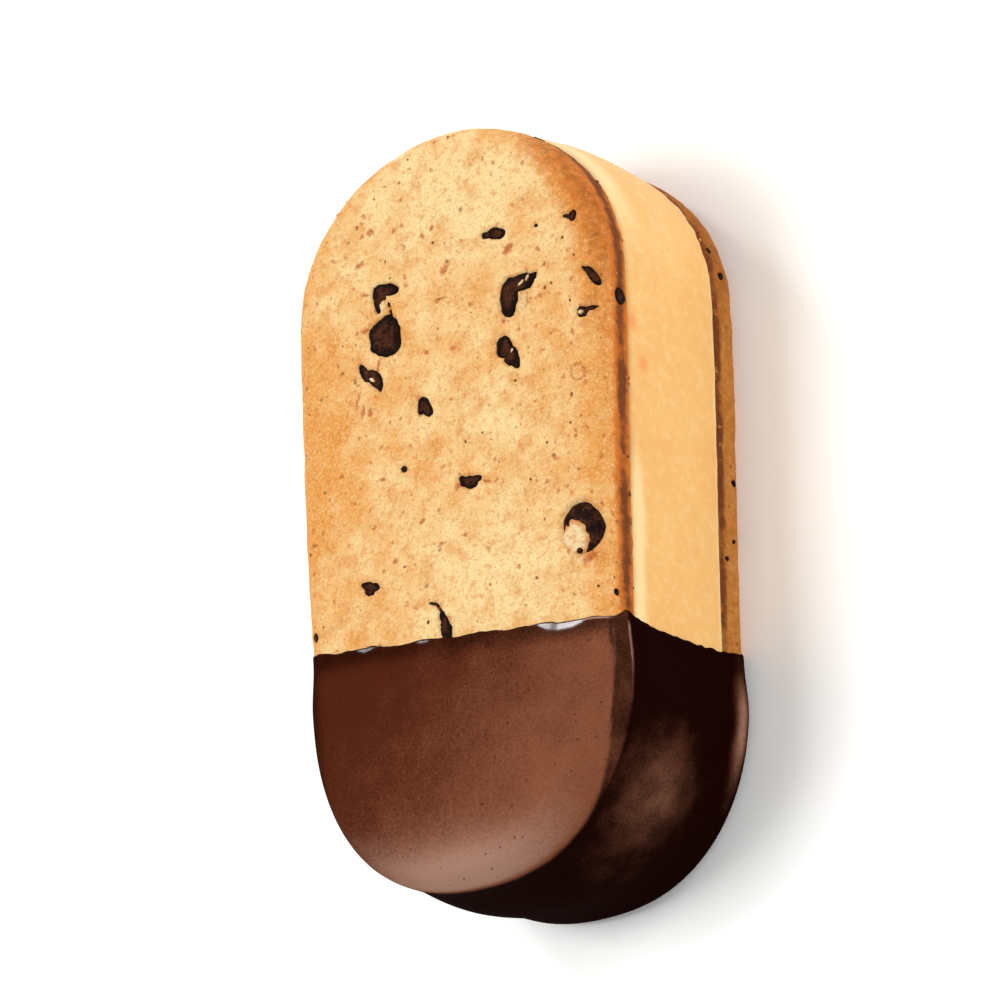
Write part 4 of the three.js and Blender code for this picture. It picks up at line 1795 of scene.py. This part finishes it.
@dataclass(frozen=True)
class CrumbScatter:
    """Loose crumbs on a surface, grown by Geometry Nodes where the mesh's mark allows them."""

    name: str
    mark: str
    per_square_mm: float
    smallest: float
    largest: float
    flatness: float
    sunk: float
    seed: int
    raggedness: float = 0.55
    facet: float = 0.7

    def inputs(self) -> dict[str, float]:
        """Values of the node tree's number inputs, by name, in metres.

        Returns:
            Each input's name and value.
        """
        return {
            "Density": self.per_square_mm / MM**2,
            "Smallest": self.smallest * MM,
            "Largest": self.largest * MM,
            "Flatness": self.flatness,
            "Sunk": -self.sunk * MM,
            "Seed": self.seed,
        }

    def tree(self, finish: Material) -> bpy.types.GeometryNodeTree:
        """Builds the node tree, with named inputs for its sizes.

        Args:
            finish: The crumbs' material.

        Returns:
            The tree, which ends in real geometry with its material.
        """
        tree = bpy.data.node_groups.new(self.name, "GeometryNodeTree")
        tree.is_modifier = True
        tree.interface.new_socket("Surface", in_out="INPUT", socket_type="NodeSocketGeometry")
        for label, value in self.inputs().items():
            kind = "NodeSocketInt" if isinstance(value, int) else "NodeSocketFloat"
            tree.interface.new_socket(label, in_out="INPUT", socket_type=kind)
        tree.interface.new_socket("Crumbs", in_out="OUTPUT", socket_type="NodeSocketGeometry")

        def add(kind: str, inputs: dict, **settings: object) -> bpy.types.bpy_prop_collection:
            """Adds a node and gives its outputs."""
            return add_node(tree, kind, inputs, **settings).outputs

        def times(first: Socket, second: Socket) -> Socket:
            """Product of two numbers."""
            return add("ShaderNodeMath", {0: first, 1: second}, operation="MULTIPLY")[0]

        given = add("NodeGroupInput", {})
        mark = add("GeometryNodeInputNamedAttribute", {"Name": self.mark}, data_type="FLOAT")["Attribute"]
        spread = {
            "Mesh": given["Surface"],
            "Density": times(given["Density"], mark),
            "Seed": given["Seed"],
        }
        points = add("GeometryNodeDistributePointsOnFaces", spread)
        limits = {2: given["Smallest"], 3: given["Largest"], "Seed": given["Seed"]}
        size = add("FunctionNodeRandomValue", limits, data_type="FLOAT")[1]
        stretch = add("FunctionNodeRandomValue", {2: 0.5, 3: 1.0}, data_type="FLOAT")[1]
        spin = add("FunctionNodeRandomValue", {3: 2 * math.pi}, data_type="FLOAT")[1]
        sizes = {"X": size, "Y": times(size, stretch), "Z": times(size, given["Flatness"])}
        about = add("FunctionNodeAxisAngleToRotation", {"Angle": spin})["Rotation"]
        turns = {"Rotation": points["Rotation"], "Rotate By": about}
        ball = add("GeometryNodeMeshIcoSphere", {"Radius": 0.5, "Subdivisions": 2})["Mesh"]
        laying = {
            "Points": points["Points"],
            "Instance": ball,
            "Rotation": add("FunctionNodeRotateRotation", turns, rotation_space="LOCAL")["Rotation"],
            "Scale": add("ShaderNodeCombineXYZ", sizes)["Vector"],
        }
        laid = add("GeometryNodeInstanceOnPoints", laying)["Instances"]
        down = add("ShaderNodeCombineXYZ", {"Z": given["Sunk"]})["Vector"]
        sunk = add("GeometryNodeTranslateInstances", {"Instances": laid, "Translation": down})["Instances"]
        real = add("GeometryNodeRealizeInstances", {"Geometry": sunk})["Geometry"]
        ragged = add("ShaderNodeTexNoise", {"Scale": self.facet / (self.largest * MM)})["Color"]
        centred = add("ShaderNodeVectorMath", {0: ragged, 1: (0.5, 0.5, 0.5)}, operation="SUBTRACT")[0]
        most = {0: centred, "Scale": self.raggedness * self.largest * MM}
        pushed = add("ShaderNodeVectorMath", most, operation="SCALE")[0]
        moved = add("GeometryNodeSetPosition", {"Geometry": real, "Offset": pushed})["Geometry"]
        dressed = add("GeometryNodeSetMaterial", {"Geometry": moved, "Material": finish})["Geometry"]
        add("NodeGroupOutput", {"Crumbs": dressed})
        return tree

    def scatter(self, surface: Piece, finish: Material) -> Piece:
        """Grows the crumbs over a piece as a plain mesh of their own.

        Args:
            surface: The piece that they lie on.
            finish: Their material.

        Returns:
            The new piece, with no modifier left on it.
        """
        carrier = bpy.data.objects.new(f"{self.name}_carrier", surface.data)
        bpy.context.scene.collection.objects.link(carrier)
        modifier = carrier.modifiers.new("crumbs", "NODES")
        modifier.node_group = self.tree(finish)
        inputs = self.inputs()
        for item in modifier.node_group.interface.items_tree:
            if item.name in inputs:
                modifier[item.identifier] = inputs[item.name]
        evaluated = carrier.evaluated_get(bpy.context.evaluated_depsgraph_get())
        mesh = bpy.data.meshes.new_from_object(evaluated)
        mesh.name = self.name
        bpy.data.objects.remove(carrier)
        return shown(self.name, mesh)


SEAM_CRUMBS = CrumbScatter("seam_crumbs", "crumbly", 0.32, 0.25, 0.85, 0.5, 0.2, 4)
BRAN_FLECKS = CrumbScatter("bran_flecks", "flecked", 0.035, 0.25, 0.6, 0.3, 0.02, 8)


# ---------------------------------------------------------------------------- the sandwich


@dataclass
class Sandwich:
    """All the layers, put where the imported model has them."""

    shift: Array
    off_table: float = 0.02
    sunk_in_coat: float = 0.1
    coat_ramp: float = 1.2

    @staticmethod
    def from_frame() -> Sandwich:
        """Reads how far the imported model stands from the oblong's own middle.

        Returns:
            The sandwich, with that shift.
        """
        low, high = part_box("ice_cream")
        widest = OBLONG.ring(OBLONG.even_places(400), 0.0, 0.0, 1.0)
        own = (widest.min(axis=0) + widest.max(axis=0)) / 2
        packed = np.array([low.x + high.x, low.y + high.y, 0.0]) / 2 / MM
        return Sandwich(packed - own)

    def centre(self) -> Vector:
        """Middle of the object, in metres."""
        return Vector((*(self.shift[:2] * MM), STACK.height / 2 * MM))

    def upper(self, sheet: Sheet) -> Sheet:
        """Puts a sheet made face up at z = 0 where the upper cookie is."""
        sheet.points = sheet.points + self.shift + np.array([0.0, 0.0, STACK.high_seam])
        return sheet

    def lower(self, sheet: Sheet) -> Sheet:
        """Puts a sheet made face up at z = 0 face down, where the lower cookie is.

        The lower face is raised a coat's thickness where the chocolate is, and off the table.

        Args:
            sheet: The sheet.

        Returns:
            The same sheet, moved.
        """
        sheet.points = sheet.points * np.array([1.0, 1.0, -1.0]) + np.array([0.0, 0.0, STACK.cookie])
        sheet.faces = sheet.faces[:, ::-1]
        x, y, z = sheet.points.T
        raised = smooth_step(DIP.at(x, z) - y, 0.0, self.coat_ramp)
        floor = self.off_table + (STACK.coat - self.sunk_in_coat) * raised
        if "flecked" in sheet.marks:
            sheet.marks["flecked"] = sheet.marks["flecked"] * smooth_step(z, 0.4, 1.4)
        sheet.points[:, 2] = np.maximum(z, floor)
        sheet.points = sheet.points + self.shift
        return sheet

    def build_cookies(self) -> None:
        """Makes both cookies with their chips and crumbs."""
        baked = BakedCookie()
        # The lower cookie takes a darker copy of the cookie finish: painted shade.
        shaded_cookie = BakedCookie(
            "baked_cookie_painted_shade",
            golden=srgb(207, 136, 54),
            pale=srgb(238, 190, 112),
            mottle=srgb(180, 104, 28),
            toast=srgb(170, 100, 28),
        )
        torn = BakedCookie("torn_crumb", golden=srgb(226, 170, 104), pale=srgb(246, 222, 170))
        chocolate = BakedChip().material()
        top = Cookie("cookie_top_baked", TOP_CHIPS, 5, TOP_CRUMBS, TOP_STAINS)
        bottom = Cookie(
            "cookie_bottom_baked",
            BOTTOM_CHIPS,
            29,
            around=640,
            step=0.42,
            toasted_to=6.4,
            toast_fade=1.2,
            toasted=0.6,
            seam_dark=0.5,
            seam_width=1.0,
        )
        face_up = self.upper(top.finished()).build(top.name, baked.material())
        dress(face_up, "cookie", "cookie_top")
        face_down = self.lower(bottom.finished()).build(bottom.name, shaded_cookie.material())
        dress(face_down, "cookie", "cookie_bottom")
        dress(self.upper(top.chips_sheet()).build("chips_top", chocolate), "chip", "cookie_top")
        dress(self.lower(bottom.chips_sheet()).build("chips_bottom", chocolate), "chip", "cookie_bottom")
        dress(self.upper(top.crumbs_sheet()).build("crumb_lumps", torn.material()), "cookie", "cookie_top")
        loose = LooseCrumb().material()
        for cookie in (face_up, face_down):
            for scatter in (SEAM_CRUMBS, BRAN_FLECKS):
                dress(scatter.scatter(cookie, loose), "cookie")

    def build_ice_cream(self) -> None:
        """Makes the slab of ice cream."""
        sheet = IceCream().sheet()
        sheet.points = sheet.points + self.shift
        dress(sheet.build("ice_cream_slab", Vanilla().material()), "ice_cream", "ice_cream")

    def build_coat(self) -> None:
        """Makes the chocolate coat."""
        sheet = Coat().sheet()
        sheet.points = sheet.points + self.shift
        dress(sheet.build("chocolate_shell", DarkChocolate().material()), "chocolate", "chocolate_coat")


def dress(piece: Piece, slot: str, *nodes: str) -> Piece:
    """Args:
        piece: The piece, which rides on the root.
        slot: Its material slot; not used.
        *nodes: The nodes that it stands for.

    Returns:
        The same piece.
    """
    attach(piece, "root")
    if nodes:
        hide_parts(*nodes)
    LOG.info("%s: %d faces", piece.name, len(piece.data.polygons))
    return piece


def main() -> None:
    """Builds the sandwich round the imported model, then its studio and camera."""
    logging.basicConfig(level=logging.INFO, format="%(name)s: %(message)s")
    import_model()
    sandwich = Sandwich.from_frame()
    View().build(sandwich.centre())
    sandwich.build_ice_cream()
    sandwich.build_cookies()
    sandwich.build_coat()
    Studio().build(sandwich.centre())


if __name__ == "__main__":
    main()
